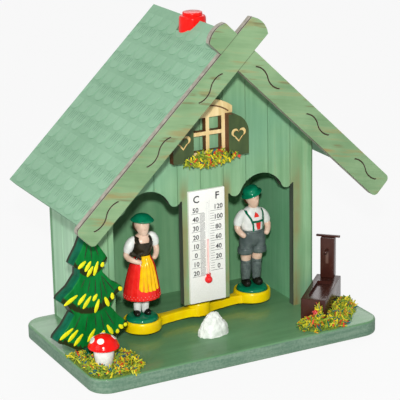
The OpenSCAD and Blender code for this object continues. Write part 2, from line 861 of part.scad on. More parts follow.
module right_flower_bed() {
    color("yellowgreen") difference() {
        intersection() {
            over_base();
            on_trough() {
                translate([-right_bed_shift, -trough_w / 2 - right_bed_w / 4, 0])
                    mound(right_bed_l, right_bed_w, bed_h);
                translate([-trough_l / 2 - right_front_l / 2.6, -right_front_w / 8, 0])
                    mound(right_front_l, right_front_w, bed_h);
            }
        }
        on_trough() translate([-trough_l / 2 - bed_gap, -trough_w / 2 - bed_gap, -over])
            cube([trough_l + 2 * bed_gap, trough_w + 2 * bed_gap, trough_h]);
    }
}

// Chimney that turns by hand on the ridge block, with the stem that holds the gut
module chimney_knob() {
    body = knob_d / 2;
    neck = knob_top_d / 2;
    shoulder = knob_top - knob_disc_h;
    color("red") on_axis() difference() {
        rotate_extrude() polygon([
            [0, stem_z], [stem_d / 2, stem_z], [stem_d / 2, knob_z], [body, knob_z],
            [neck, shoulder - knob_chamfer], [neck - knob_chamfer, shoulder],
            [knob_disc_d / 2, shoulder], [knob_disc_d / 2, knob_top], [0, knob_top]
        ]);
        translate([0, 0, stem_z - over]) cylinder(h = gut_hold + over, r = gut_d / 2 + gut_fit);
    }
}

// Bar with a hub on the gut and a cup for each figure
module figure_bar() {
    color("gold") on_axis() rotate([0, 0, bar_turn]) difference() {
        union() {
            translate([-bar_arm, -bar_w / 2, bar_gap]) cube([2 * bar_arm, bar_w, bar_h]);
            translate([0, 0, bar_gap]) cylinder(h = hub_h, d = hub_d);
            for (side = [-1, 1]) translate([side * bar_arm, 0, bar_gap]) cylinder(h = cup_h, d = cup_d);
        }
        for (side = [-1, 1]) translate([side * bar_arm, 0, foot_z])
            cylinder(h = cup_h, r = cup_d / 2 - cup_wall);
        cylinder(h = hub_top + over, r = gut_d / 2 + gut_fit);
        translate([0, 0, bar_gap - over]) cylinder(h = plug_h + over, d = plug_d);
    }
}

module gut_string() {
    color("wheat") on_axis() translate([0, 0, bar_gap])
        cylinder(h = stem_z + gut_hold - gut_fit - bar_gap, d = gut_d);
}

// Plug in the underside of the hub, round the end of the gut
module gut_plug() {
    color("burlywood") on_axis() translate([0, 0, bar_gap]) difference() {
        cylinder(h = plug_h, d = plug_d);
        translate([0, 0, -over]) cylinder(h = plug_h + 2 * over, r = gut_d / 2 + gut_fit);
    }
}

// A figure's place on the bar, on the floor of its cup
module on_cup(side) {
    on_axis() rotate([0, 0, bar_turn]) translate([side * bar_arm, 0, foot_z]) children();
}

module ball(place, r) { translate(place) sphere(r, $fn = fine); }

module limb(from, to, r_from, r_to) {
    hull() {
        ball(from, r_from);
        ball(to, r_to);
    }
}

module foot() { cylinder(h = foot_t, r = foot_r); }

module shoe(x) {
    limb([x, 0.6 * shoe_r, 0.8 * shoe_r], [x, -1.5 * shoe_r, 0.7 * shoe_r], shoe_r, 0.8 * shoe_r);
}

module legs(spread, r, height) {
    for (side = [-1, 1]) {
        translate([side * spread, 0, -over]) cylinder(h = height + over, r = r, $fn = fine);
        intersection() {
            shoe(side * spread);
            translate([0, 0, -over]) cylinder(h = height, r = foot_r);
        }
    }
}

// Head with hair round the back of it
module head_with_hair(r) {
    sphere(r, $fn = fine);
    translate([0, 3 * hair_t, hair_t]) sphere(r + hair_t, $fn = fine);
}

// Bell of the skirt, from the hem to the waist
function skirt_at(k) = waist_r + (skirt_r - waist_r) * pow(1 - k, 1.35);
module skirt() {
    steps = 8;
    rise = woman_waist - woman_hem;
    side = [for (i = [0:steps]) [skirt_at(i / steps), woman_hem + rise * i / steps]];
    rotate_extrude($fn = 2 * fine) polygon(concat([[0, woman_hem]], side, [[0, woman_waist]]));
}

// Arm with a puffed sleeve, the hand on the hip
module woman_arm(side) {
    sleeve = [side * woman_half, 0, woman_shoulder - 0.55 * puff_r];
    elbow = [side * elbow_reach, 0.6 * arm_r, woman_waist + 0.7 * arm_r];
    hand = [side * (waist_r + 0.4 * arm_r), -1.2 * arm_r, woman_waist - 1.2 * arm_r];
    ball(sleeve, puff_r);
    limb(sleeve, elbow, 1.3 * arm_r, arm_r);
    limb(elbow, hand, arm_r, 0.9 * arm_r);
}

module woman_figure() {
    head = [woman_lean, 0, woman_h - 1.5 * woman_head_r];
    neck = [woman_lean / 2, 0, woman_shoulder - 0.7 * puff_r];
    color("firebrick") on_cup(-1) rotate([0, 0, woman_turn]) {
        foot();
        translate([0, 0, foot_t]) {
            legs(woman_stance, woman_leg_r, woman_hem + over);
            skirt();
            hull() {
                translate([0, 0, woman_waist - 2 * over]) cylinder(h = over, r = 0.975 * waist_r, $fn = fine);
                for (side = [-1, 1])
                    ball([side * 0.6 * woman_half, 0, woman_shoulder - puff_r / 3], 0.75 * puff_r);
            }
            for (side = [-1, 1]) woman_arm(side);
            limb(neck, head, neck_r, neck_r);
            translate(head) head_with_hair(woman_head_r);
            translate([head.x, 2 * hair_t, 0]) hull() {
                translate([0, 0, head.z + 0.57 * woman_head_r])
                    cylinder(h = 0.2 * woman_head_r, r = 0.75 * beret_r, $fn = 2 * fine);
                translate([0, 0, head.z + 0.95 * woman_head_r])
                    cylinder(h = 0.2 * woman_head_r, r = beret_r, $fn = 2 * fine);
                translate([0, 0, woman_h - beret_r / 9])
                    cylinder(h = beret_r / 9, r = beret_r / 2, $fn = 2 * fine);
            }
        }
    }
}

// Arm in a short sleeve, the hand in the pocket
module man_arm(side) {
    shoulder = [side * man_half, 0, man_shoulder - 1.2 * arm_r];
    elbow = [side * elbow_reach, 0.7 * arm_r, man_belt + 1.6 * arm_r];
    hand = [side * (man_half + 0.3 * arm_r), -arm_r, man_belt - arm_r];
    limb(shoulder, elbow, 1.4 * arm_r, 1.25 * arm_r);
    limb(elbow, hand, 1.25 * arm_r, 1.1 * arm_r);
}

module man_figure() {
    head = [0, 0, man_h - 1.95 * man_head_r];
    hips = 0.6 * shorts_r;
    color("dimgray") on_cup(1) {
        foot();
        translate([0, 0, foot_t]) {
            legs(man_stance, man_leg_r, man_shorts + over);
            for (side = [-1, 1]) hull() {
                translate([side * man_stance, 0, man_shorts]) cylinder(h = over, r = shorts_r, $fn = fine);
                translate([side * hips, 0, man_belt - over])
                    cylinder(h = over, r = 1.12 * shorts_r, $fn = fine);
            }
            hull() for (side = [-1, 1]) {
                translate([side * hips, 0, man_belt - 3 * over])
                    cylinder(h = over, r = 1.06 * shorts_r, $fn = fine);
                ball([side * 0.6 * man_half, 0, man_shoulder - man_half / 2.7], man_half / 1.95);
            }
            for (side = [-1, 1]) man_arm(side);
            limb([0, 0, man_shoulder - neck_r], head, neck_r, neck_r);
            translate(head) head_with_hair(man_head_r);
            translate(head + [0, hair_t, man_head_r / 2]) rotate([0, -hat_tilt, 0]) {
                cylinder(h = brim_t, r = brim_r, $fn = 2 * fine);
                cylinder(h = 1.33 * man_head_r, r1 = 1.05 * man_head_r, r2 = 0.8 * man_head_r,
                         $fn = 2 * fine);
            }
        }
    }
}

base_board();
front_wall();
back_wall();
left_wall();
right_wall();
left_roof_panel();
right_roof_panel();
left_bargeboard();
right_bargeboard();
ridge_block();
window_frame();
window_lintel();
left_shutter();
right_shutter();
window_flowers();
thermometer_card();
thermometer_tube();
thermometer_liquid();
fir_tree();
mushroom_stem();
mushroom_cap();
left_flower_bed();
white_stone();
trough();
trough_post();
post_cap();
trough_spout();
right_flower_bed();
chimney_knob();
figure_bar();
gut_string();
gut_plug();
woman_figure();
man_figure();
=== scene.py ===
import math
import random

import bmesh
import bpy
from mathutils import Color, Matrix, Vector, noise


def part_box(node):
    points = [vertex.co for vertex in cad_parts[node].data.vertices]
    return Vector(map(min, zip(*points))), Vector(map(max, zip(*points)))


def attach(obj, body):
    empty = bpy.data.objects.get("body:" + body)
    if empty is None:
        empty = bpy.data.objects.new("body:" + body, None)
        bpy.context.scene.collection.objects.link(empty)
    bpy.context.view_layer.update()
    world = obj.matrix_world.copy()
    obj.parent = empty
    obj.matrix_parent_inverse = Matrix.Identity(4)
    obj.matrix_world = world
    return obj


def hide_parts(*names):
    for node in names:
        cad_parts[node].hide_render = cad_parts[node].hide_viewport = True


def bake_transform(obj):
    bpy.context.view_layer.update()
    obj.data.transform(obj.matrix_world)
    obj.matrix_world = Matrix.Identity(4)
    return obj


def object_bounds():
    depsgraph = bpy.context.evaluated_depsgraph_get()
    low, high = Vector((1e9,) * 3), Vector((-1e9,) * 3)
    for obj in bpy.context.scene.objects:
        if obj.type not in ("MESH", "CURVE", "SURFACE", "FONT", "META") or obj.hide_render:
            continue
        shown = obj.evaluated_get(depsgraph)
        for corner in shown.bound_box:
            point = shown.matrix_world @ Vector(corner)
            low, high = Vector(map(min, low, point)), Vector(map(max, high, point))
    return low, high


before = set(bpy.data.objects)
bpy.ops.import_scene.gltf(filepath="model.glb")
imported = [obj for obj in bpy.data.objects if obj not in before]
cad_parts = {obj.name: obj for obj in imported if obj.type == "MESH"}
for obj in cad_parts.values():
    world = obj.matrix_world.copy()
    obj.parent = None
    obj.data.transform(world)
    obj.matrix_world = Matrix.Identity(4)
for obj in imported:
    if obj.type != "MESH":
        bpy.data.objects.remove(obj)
cad_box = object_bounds()

# Base board: a thick fibreboard plate with round corners, painted a satin green all over.
# The edges are broken with sandpaper and drink more paint, so they look greyer and speckled.
# It stands flat on its underside, and the house and the garden are glued on top of it.
MM = 0.001
UP = Vector((0, 0, 1))
BASE_TOP, CORNER_R, EDGE_R = 7.5, 10 * MM, 1.1 * MM


def begin(kind, name, **size):
    """Adds a primitive at its size and place and opens it for editing, with all of it selected."""
    bpy.ops.object.select_all(action="DESELECT")
    getattr(bpy.ops.mesh, f"primitive_{kind}_add")(**size)
    piece = bpy.context.object
    piece.name = piece.data.name = name
    bpy.ops.object.transform_apply(location=True, rotation=True, scale=True)
    bpy.ops.object.mode_set(mode="EDIT")
    bpy.ops.mesh.select_all(action="SELECT")
    return piece


def blank(name, low, high):
    """A box between two corners, open for editing."""
    return begin("cube", name, size=1, location=(low + high) / 2, scale=high - low)


def pick(kind, wanted):
    """Selects the verts, edges or faces of the open piece for which wanted says yes."""
    bpy.ops.mesh.select_mode(type=kind)
    bpy.ops.mesh.select_all(action="DESELECT")
    mesh = bpy.context.object.data
    shape = bmesh.from_edit_mesh(mesh)
    for part in {"VERT": shape.verts, "EDGE": shape.edges, "FACE": shape.faces}[kind]:
        part.select_set(wanted(part))
    bmesh.update_edit_mesh(mesh)


def close(piece, smooth=35):
    """Ends the editing with merged points and outward faces, smooth where they meet at a small angle."""
    bpy.ops.mesh.select_mode(type="VERT")
    bpy.ops.mesh.select_all(action="SELECT")
    bpy.ops.mesh.remove_doubles(threshold=1e-6)
    bpy.ops.mesh.normals_make_consistent(inside=False)
    bpy.ops.object.mode_set(mode="OBJECT")
    bpy.ops.object.shade_smooth_by_angle(angle=math.radians(smooth))
    return piece


def fit(piece, body, finish, slot, *stands_for):
    """Paints a finished piece, ties it to the body that carries it and hides the CAD parts that it stands
    for.
    """
    piece.data.materials.clear()
    piece.data.materials.append(finish.paint)
    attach(piece, body)
    if stands_for:
        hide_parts(*stands_for)


def colour(*levels):
    """A paint colour, given from 0 to 255, for the shader."""
    return (*Color([level / 255 for level in levels]).from_srgb_to_scene_linear(), 1.0)


class Tone:
    """One socket of a finish. Arithmetic on tones adds Math nodes, and node() adds any other."""

    def __init__(self, tree, socket):
        self.tree, self.socket = tree, socket

    def node(self, kind, settings=None, sockets=None, out=0):
        made = self.tree.nodes.new("ShaderNode" + kind)
        for name, value in (settings or {}).items():
            setattr(made, name, value)
        for name, value in (sockets or {}).items():
            if isinstance(value, Tone):
                self.tree.links.new(value.socket, made.inputs[name])
            else:
                made.inputs[name].default_value = value
        return Tone(self.tree, made.outputs[out])

    def math(self, operation, first, second=0.0):
        return self.node("Math", {"operation": operation}, {0: first, 1: second})

    def __add__(self, other):
        return self.math("ADD", self, other)

    __radd__ = __add__

    def __sub__(self, other):
        return self.math("SUBTRACT", self, other)

    def __rsub__(self, other):
        return self.math("SUBTRACT", other, self)

    def __mul__(self, other):
        return self.math("MULTIPLY", self, other)

    def __abs__(self):
        return self.math("ABSOLUTE", self)

    def step(self, low, high):
        """0 below low, 1 above high and smooth between, or the other way round if low is higher."""
        return self.node("MapRange", {"interpolation_type": "SMOOTHSTEP"},
                         {"Value": self, "From Min": low, "From Max": high})

    def span(self, low, high):
        """As step, for a tone that is a length, with low and high in millimetres."""
        return self.step(low * MM, high * MM)

    def mix(self, low, high):
        """The colour low where this tone is 0 and high where it is 1. Each is a tone or a paint colour."""
        low, high = (shade if isinstance(shade, Tone) else colour(*shade) for shade in (low, high))
        return self.node("Mix", {"data_type": "RGBA"}, {0: self, 6: low, 7: high}, 2)

    def between(self, low, high, start=0.3, end=0.7):
        """A colour that goes from low to high while this tone rises from start to end."""
        return self.step(start, end).mix(low, high)

    def axes(self):
        parts = self.node("SeparateXYZ", {}, {0: self}).socket.node
        return [Tone(self.tree, output) for output in parts.outputs]

    def mapped(self, scale=(1, 1, 1), rotation=(0, 0, 0)):
        return self.node("Mapping", {}, {"Vector": self, "Rotation": rotation, "Scale": scale})

    def within(self, stand):
        """These coordinates as seen from a piece's own stand."""
        return self.node("Mapping", {"vector_type": "TEXTURE"},
                         {"Vector": self, "Location": stand.translation, "Rotation": stand.to_euler()})

    def noise(self, scale, detail=3.0, roughness=0.55):
        return self.node("TexNoise", {}, {"Vector": self, "Scale": scale, "Detail": detail,
                                          "Roughness": roughness}, "Fac")

    def grain(self, scale, detail, roughness=0.55):
        """Noise that is drawn out to streaks by its three scales."""
        return self.mapped(scale).noise(1, detail, roughness)


class Finish:
    """A paint or bare surface: its shader, the object's own coordinates and the way its faces look."""

    def __init__(self, name, rough=0.5, shine=0.5, **other):
        self.paint = bpy.data.materials.new(name)
        self.paint.use_nodes = True
        tree = self.paint.node_tree
        self.shader = tree.nodes["Principled BSDF"]
        other.update(Roughness=rough, Specular_IOR_Level=shine)
        for socket, value in other.items():
            self.shader.inputs[socket.replace("_", " ")].default_value = value
        source = tree.nodes.new("ShaderNodeTexCoord")
        self.place = Tone(tree, source.outputs["Object"])
        self.facing = Tone(tree, source.outputs["Normal"])

    def lay(self, socket, tone):
        tone.tree.links.new(tone.socket, self.shader.inputs[socket])

    def relief(self, height, deep, strength):
        """Bumps of a depth in millimetres."""
        self.lay("Normal", height.node("Bump", {}, {"Height": height, "Distance": deep * MM,
                                                    "Strength": strength}, "Normal"))

    def looks(self, axis, low, high):
        """How squarely a face looks along an axis, either way, as a step from low to high."""
        return abs(self.facing.axes()[axis]).step(low, high)

    def marked(self):
        """The colour that is stored on the points of the piece."""
        return self.place.node("Attribute", {"attribute_name": "shade"}, {}, "Color")

    def cover(self, share, shader):
        """Lays another shader over this finish by a share."""
        tree = share.tree
        both = share.node("MixShader", {}, {0: share, 1: Tone(tree, self.shader.outputs[0]), 2: shader})
        tree.links.new(both.socket, tree.nodes["Material Output"].inputs["Surface"])


base_board = blank("base_board_painted", *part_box("base_board"))
pick("EDGE", lambda edge: abs(edge.verts[0].co.z - edge.verts[1].co.z) > EDGE_R)
bpy.ops.mesh.bevel(offset=CORNER_R, segments=12)
pick("EDGE", lambda edge: edge.verts[0].co.z == edge.verts[1].co.z and len(edge.link_faces) == 2
     and abs(edge.link_faces[0].normal.z - edge.link_faces[1].normal.z) > 0.9)
bpy.ops.mesh.bevel(offset=EDGE_R, segments=4)
close(base_board)

base_paint = Finish("base_green_paint", 0.4, 0.2, Coat_Weight=0.3, Coat_Roughness=0.09)
fleck = base_paint.place.noise(900, 2)
streak = base_paint.place.grain((14, 240, 60), 4)
cloud = base_paint.place.noise(26, 4) * 0.6 + streak * 0.4
top = cloud.between((90, 134, 93), (106, 151, 108), 0.36, 0.66)
layers = base_paint.place.grain((60, 60, 700), 4) * 0.55 + fleck * 0.45
rim = layers.between((96, 128, 107), (126, 152, 131), 0.36, 0.64)
side = base_paint.looks(2, 0.62, 0.25)
base_paint.lay("Base Color", side.mix(top, rim))
base_paint.lay("Roughness", 0.34 + fleck * 0.1 + side * 0.3)
base_paint.lay("Coat Weight", 0.3 - side * 0.28)
base_paint.relief(fleck * 0.5 + streak * 0.5, 0.12, 0.5)
fit(base_board, "house", base_paint, "base_green", "base_board")

# Walls: the front is a sheet of thin plywood with milled plank grooves and two doorways sawn by laser,
# which leaves the sawn edges burnt. Sides and back are boards of solid wood. All are glued together
# and brushed with a thin green stain, wiped along the grain and browned by hand beside the doors.
DOOR_EDGE, POST_EDGE = 51.2 * MM, 11.8 * MM


def board_green(name, low, high):
    """Thin green stain over upright grain, from a darker to a lighter green."""
    stain = Finish(name, 0.55, 0.35)
    stain.fibres = stain.place.grain((340, 340, 16), 5, 0.65)
    stain.patches = stain.place.noise(38, 3)
    stain.tone = (stain.fibres * 0.65 + stain.patches * 0.35).step(0.34, 0.68)
    stain.green = stain.tone.mix(low, high)
    stain.relief(stain.fibres, 0.15, 0.45)
    stain.lay("Roughness", 0.5 + stain.fibres * 0.16)
    return stain


def dress(finish, *nodes):
    """Paints solids that are shown as they are in CAD."""
    for node in nodes:
        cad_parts[node].data.materials[0] = finish.paint


front = board_green("front_wall_stain", (117, 160, 116), (147, 187, 143))
across, deep, up = front.place.axes()
door_side = abs(across - DOOR_EDGE).span(5.0, 1.0) * up.span(98, 72)
post_side = abs(abs(across) - POST_EDGE).span(3.6, 0.6) * up.span(88, 76)
corner = abs(across).span(59.6, 60.9) * 0.35
foot_line = up.span(15.0, 7.5) * 0.3
worn = (front.patches * 0.6 + front.fibres * 0.4).step(0.30, 0.66)
umber = (door_side * 0.9 + post_side * 0.9 + corner + foot_line) * worn
cool = (front.place.noise(24, 2).step(0.45, 0.68) * 0.5).mix(front.green, (118, 171, 143))
stain_and_edge_shade = (umber + front.fibres.step(0.58, 0.76) * 0.26).mix(cool, (136, 117, 68))
# A thin dark green line along the outer upright edges of the front is painted shade at the corners.
stain_and_edge_shade = (abs(across).span(59.9, 60.5) * 0.7).mix(stain_and_edge_shade, (62, 88, 62))
# The floors of the plank grooves are painted a darker green, as painted shade in the grooves.
groove_shade = deep.span(-6.25, -6.02) * front.looks(1, 0.45, 0.6)
grooved = (groove_shade * 0.55).mix(stain_and_edge_shade, (92, 122, 92))
burnt = front.fibres.between((52, 58, 50), (86, 96, 82))
front.lay("Base Color", front.looks(1, 0.5, 0.3).mix(grooved, burnt))
dress(front, "front_wall")

sides = board_green("side_wall_stain", (154, 196, 161), (184, 220, 188))
out = abs(sides.place.axes()[0])
# The floors of the grooves in the side walls are painted darker, as painted shade in the grooves.
groove_shade = out.span(60.85, 60.55) * out.span(60.0, 60.4)
grooved = (groove_shade * 0.5).mix(sides.green, (96, 132, 102))
inside_green = sides.tone.mix((108, 172, 126), (130, 188, 144))
sides.lay("Base Color", out.span(54.0, 53.2).mix(grooved, inside_green))
dress(sides, "left_wall", "right_wall")

back = board_green("back_wall_stain", (99, 149, 107), (118, 164, 121))
back.lay("Base Color", back.green)
dress(back, "back_wall")

# Roof: two panels of fibreboard, mitred at the ridge and glued on the gables. Rows of round-ended
# shingles are pressed into the upper face, some with a fine hatch of wood lines, and the whole is
# painted a pale mint green. The shingles here are thin plates that rise a little towards their ends.
RIDGE, SLOPE = Vector((0, 0, 160.5 * MM)), math.radians(44)
ROOF_FRONT, ROOF_BACK = -37.4 * MM, 44.5 * MM
SHINGLE_W, SHINGLE_ROW, SHINGLE_RISE, FIRST_END = 9.9 * MM, 9.05 * MM, 0.22 * MM, 3.15 * MM
ROWS, COLUMNS, ROCK, SUNK = 12, 9, math.radians(-2.3), 0.05 * MM
AXIS_Y = 3.4
CHIMNEY_HOLE, HOLE_R = Vector((0, AXIS_Y * MM)), 8.2 * MM


def clamp(value, low, high):
    return min(max(value, low), high)


def reshape(piece, rule):
    """Puts each point of the open piece where rule says, given where it is."""
    for vert in bmesh.from_edit_mesh(piece.data).verts:
        vert.co = rule(vert.co)
    bmesh.update_edit_mesh(piece.data)


def pull(*way):
    """Draws the selected faces of the open piece out by a way."""
    bpy.ops.mesh.extrude_region_move(TRANSFORM_OT_translate={"value": way})


def sawn(name, outline):
    """A flat piece in the level plane with the given outline in millimetres, open for editing."""
    piece = begin("circle", name, vertices=len(outline), radius=1, fill_type="NGON")
    corners = iter(outline)
    reshape(piece, lambda spot: Vector((*next(corners), 0)) * MM)
    return piece


def scatter(name, pattern, places):
    """One mesh of many copies of a modelled shape, each moved by its own matrix."""
    joined = bmesh.new()
    for place in places:
        copy = pattern.data.copy()
        copy.transform(place)
        joined.from_mesh(copy)
        bpy.data.meshes.remove(copy)
    mesh = bpy.data.meshes.new(name)
    joined.to_mesh(mesh)
    joined.free()
    piece = bpy.data.objects.new(name, mesh)
    bpy.context.scene.collection.objects.link(piece)
    bpy.ops.object.select_all(action="DESELECT")
    piece.select_set(True)
    bpy.context.view_layer.objects.active = piece
    return piece


def mark(piece, count, shade):
    """Stores a colour on every point: shade gives it from the numbers of the copy and of the point in it."""
    layer = piece.data.color_attributes.new("shade", "FLOAT_COLOR", "POINT")
    each = len(piece.data.vertices) // count
    for index in range(len(piece.data.vertices)):
        layer.data[index].color = shade(*divmod(index, each))


HALF_W, END_L, TOP_L, FULLNESS = 4.25, 3.4, 3.7, 0.9
tongue = [(-HALF_W, TOP_L)]
for angle in range(180, 361, 15):
    x, y = math.cos(math.radians(angle)), math.sin(math.radians(angle))
    tongue.append((math.copysign(abs(x) ** FULLNESS, x) * HALF_W, -abs(y) ** FULLNESS * END_L))
shingle = sawn("shingle", tongue + [(HALF_W, TOP_L)])
pull(0, 0, SHINGLE_RISE)
pick("FACE", lambda part: all(vert.co.z > SHINGLE_RISE / 2 for vert in part.verts))
bpy.ops.mesh.inset(thickness=0.6 * MM)
bpy.ops.transform.translate(value=(0, 0, 0.06 * MM))
close(shingle, 20)
# rim_points marks the points on the shingles' rims, which get darker paint and painted shade.
rim_points = [vert.co.z < SHINGLE_RISE + 0.05 * MM and vert.co.y < 2 * MM for vert in shingle.data.vertices]

mint = Finish("roof_mint_paint", 0.6, 0.12)
veil = mint.place.noise(30, 3)
dust = mint.place.noise(420, 3)
rim_paint_and_shade, bright, _ = mint.marked().axes()
lines = veil.node("TexWave", {"bands_direction": "Y"},
                  {"Vector": mint.place.mapped((0.06, 1, 0.06)), "Scale": 172.0, "Distortion": 0.5,
                   "Detail": 1.0, "Detail Scale": 0.4}, "Fac")
_, along, up = mint.place.axes()
fall = (RIDGE.z - up) * (1 / math.sin(SLOPE)) - FIRST_END
upper = veil.math("MODULO", fall + 9.3 * MM, 2 * SHINGLE_ROW)
beside = abs(veil.math("MODULO", along - (ROOF_FRONT - SHINGLE_W), SHINGLE_W) - SHINGLE_W / 2)
hatched = lines.step(0.5, 0.85) * upper.span(0, 0.8) * upper.span(5.6, 4.0) * beside.span(3.8, 3.4)
hatched = hatched * mint.place.noise(120, 2).step(0.30, 0.46)
skin = (veil * 0.7 + dust * 0.3).step(0.36, 0.66) * 0.55 + bright * 0.45
green = skin.mix((138, 179, 148), (156, 196, 166))
# The shingles' rims are painted darker: partly the darker paint of their pressed outlines, partly painted
# shade at their steps.
mint.lay("Base Color", (hatched * 0.55 + rim_paint_and_shade * rim_paint_and_shade * 0.35).mix(green, (96, 138, 110)))
mint.lay("Roughness", 0.56 + veil * 0.14)
mint.relief(dust * 0.4 - hatched * 0.6, 0.16, 0.6)

chance = random.Random(3)
for side, name in ((-1, "left"), (1, "right")):
    down = Vector((side * math.cos(SLOPE), 0, -math.sin(SLOPE)))
    out = Vector((side * math.sin(SLOPE), 0, math.cos(SLOPE)))
    lean = Matrix((Vector((0, 1, 0)) * side, -down, out)).transposed().to_4x4()
    rock = Matrix.Rotation(ROCK, 4, "X")
    places, lights = [], []
    for row in range(1, ROWS + 1):
        for column in range(COLUMNS):
            y = ROOF_FRONT + (column + 0.5 * (1 - row % 2)) * SHINGLE_W
            centre = RIDGE + down * (FIRST_END + row * SHINGLE_ROW - END_L * MM) + Vector((0, y, 0))
            places.append(Matrix.Translation(centre - out * SUNK) @ lean @ rock)
            lights.append(chance.uniform(0.35, 1.0))
    shingles = scatter(f"{name}_shingles", shingle, places)
    mark(shingles, len(places), lambda copy, point: (float(rim_points[point]), lights[copy], 0.0, 1.0))
    for vert in shingles.data.vertices:
        rise = vert.co.z + side * vert.co.x * math.tan(SLOPE)
        aside = vert.co.xy - CHIMNEY_HOLE
        if aside.length < HOLE_R:
            vert.co.xy = CHIMNEY_HOLE + aside.normalized() * HOLE_R
        vert.co.y = clamp(vert.co.y, ROOF_FRONT, ROOF_BACK)
        vert.co.x = clamp(side * vert.co.x, SUNK, abs(cad_box[max(side, 0)][0])) * side
        vert.co.z = rise - side * vert.co.x * math.tan(SLOPE)
    bpy.ops.object.shade_smooth_by_angle(angle=math.radians(4))
    fit(shingles, "house", mint, "roof_green")
    dress(mint, f"{name}_roof_panel")
bpy.data.objects.remove(shingle)

# Bargeboards: two sawn boards that cross in a half lap above the ridge and end in round horns. They are
# stained a warm yellow green over slanting grain, browned with umber, and three waves are burnt into
# each. The sawn edges show grey and brown.


def barge_stain(name, seam):
    """The bargeboards' stain, with the grain a little aslant. seam is the angle at which the other board
    crosses in front, where a fine joint shows, or None."""
    stain = Finish(name, 0.5, 0.35)
    own = stain.place.mapped(rotation=(0, math.radians(-11), 0))
    fibres = own.grain((30, 300, 420), 5, 0.62)
    knots = own.grain((26, 60, 190), 4, 0.6)
    cracks = own.grain((16, 60, 420), 2).step(0.62, 0.66) * stain.place.noise(70, 2).step(0.45, 0.6)
    cloudy = fibres * 0.5 + stain.place.noise(45, 3) * 0.5
    green = cloudy.between((112, 145, 103), (136, 167, 124), 0.36, 0.66)
    browned = (knots.step(0.55, 0.70) * 0.6 + fibres.step(0.55, 0.70) * 0.35).mix(green, (152, 126, 74))
    browned = (cracks * 0.6).mix(browned, (112, 98, 60))
    edge = fibres.between((146, 142, 128), (180, 172, 160), 0.35, 0.65)
    across, deep, up = stain.place.axes()
    carved = deep.span(-41.35, -41.05) * deep.span(-40.3, -40.6)
    if seam:
        half_w = 6 * MM
        drop = (RIDGE.z - up) * math.cos(seam) + across * math.sin(seam)
        carved = carved + abs(abs(drop - half_w) - half_w).span(0.5, 0.1) * 0.75
    stain.lay("Base Color", carved.mix(stain.looks(1, 0.6, 0.35).mix(browned, edge), (58, 46, 30)))
    stain.lay("Roughness", 0.46 + fibres * 0.16)
    stain.relief(fibres, 0.15, 0.4)
    return stain


dress(barge_stain("left_barge_stain", None), "left_bargeboard")
dress(barge_stain("right_barge_stain", SLOPE), "right_bargeboard")

# Ridge block and plug: small pieces of bare beech. The block is glued under the ridge and bored for
# the stem of the chimney, and the plug holds the gut in the hub of the figure bar.
beech = Finish("bare_beech", 0.6, 0.3)
fibres = beech.place.grain((420, 30, 420), 4)
figured = fibres * 0.7 + beech.place.noise(60) * 0.3
beech.lay("Base Color", figured.between((186, 146, 96), (222, 188, 136), 0.35, 0.66))
beech.relief(fibres, 0.12, 0.5)
dress(beech, "ridge_block", "gut_plug")

# Window: a frame of light limewood sawn by laser from one sheet, with four panes, and an arched lintel
# of the same wood over it. The sawn edges are scorched brown, and a thin line is burnt along the arch.
ARCH, ARCH_R, LINE_INNER = Vector((0, -10.0, 101.4)) * MM, 19.2 * MM, 0.965
LINE_LOW, LINE_HALF, LINE_T = 115.8 * MM, 12.6 * MM, 0.06 * MM


def coat(name, low, high, grain, detail=3, rough=0.5, shine=0.5, relief=None, vary=0):
    """One colour laid on a little unevenly, from low to high. relief is the depth and the strength of its
    ripples, and vary is how much rougher it gets where it is lighter."""
    layer = Finish(name, rough, shine)
    uneven = layer.place.noise(grain, detail)
    layer.lay("Base Color", uneven.between(low, high))
    if vary:
        layer.lay("Roughness", rough + uneven * vary)
    if relief:
        layer.relief(uneven, *relief)
    return layer


lime = Finish("window_limewood", 0.5, 0.35)
fibres = lime.place.grain((420, 420, 30), 4)
figured = fibres * 0.6 + lime.place.noise(110, 3) * 0.4
face = figured.between((224, 192, 130), (248, 224, 170), 0.34, 0.68)
scorched = fibres.between((78, 44, 22), (128, 78, 40))
lime.lay("Base Color", lime.looks(1, 0.7, 0.35).mix(face, scorched))
lime.relief(fibres, 0.1, 0.4)
dress(lime, "window_frame", "window_lintel")

lintel_line = begin("circle", "lintel_burnt_line", vertices=96, radius=ARCH_R, fill_type="NOTHING",
                    location=ARCH, rotation=(math.pi / 2, 0, 0))
bpy.ops.mesh.extrude_edges_move()
bpy.ops.transform.resize(value=(LINE_INNER, 1, LINE_INNER), center_override=ARCH)
pick("VERT", lambda vert: vert.co.z < LINE_LOW or abs(vert.co.x) > LINE_HALF)
bpy.ops.mesh.delete(type="VERT")
bpy.ops.mesh.select_all(action="SELECT")
pull(0, -LINE_T, 0)
close(lintel_line)
scorch = coat("scorched_line", (86, 54, 28), (138, 96, 52), 700, 2, 0.7)
fit(lintel_line, "house", scorch, "plain_wood")

# Shutters: two sawn boards with one round corner, painted dark green and glued on the frame's ears.
# The sawn edges stay reddish brown, and the line of a heart is cut through the paint to the pale wood.
HEART_X, HEART_Z = 15.0 * MM, 104.8 * MM
shutter = Finish("shutter_dark_green", 0.42, 0.4)
streaks = shutter.place.grain((260, 260, 30), 4)
across, deep, up = shutter.place.axes()
cloudy = streaks * 0.6 + shutter.place.noise(120, 3) * 0.4
dark = cloudy.between((52, 70, 34), (72, 90, 46), 0.34, 0.68)
edge = streaks.between((84, 42, 24), (122, 70, 42))
heart = abs(abs(across) - HEART_X).span(4.7, 4.5) * abs(up - HEART_Z).span(5.5, 5.3)
heart = heart * deep.span(-13.8, -13.45)
shutter.lay("Base Color", heart.mix(shutter.looks(1, 0.7, 0.35).mix(dark, edge), (226, 202, 140)))
shutter.relief(streaks, 0.1, 0.4)
dress(shutter, "left_shutter", "right_shutter")

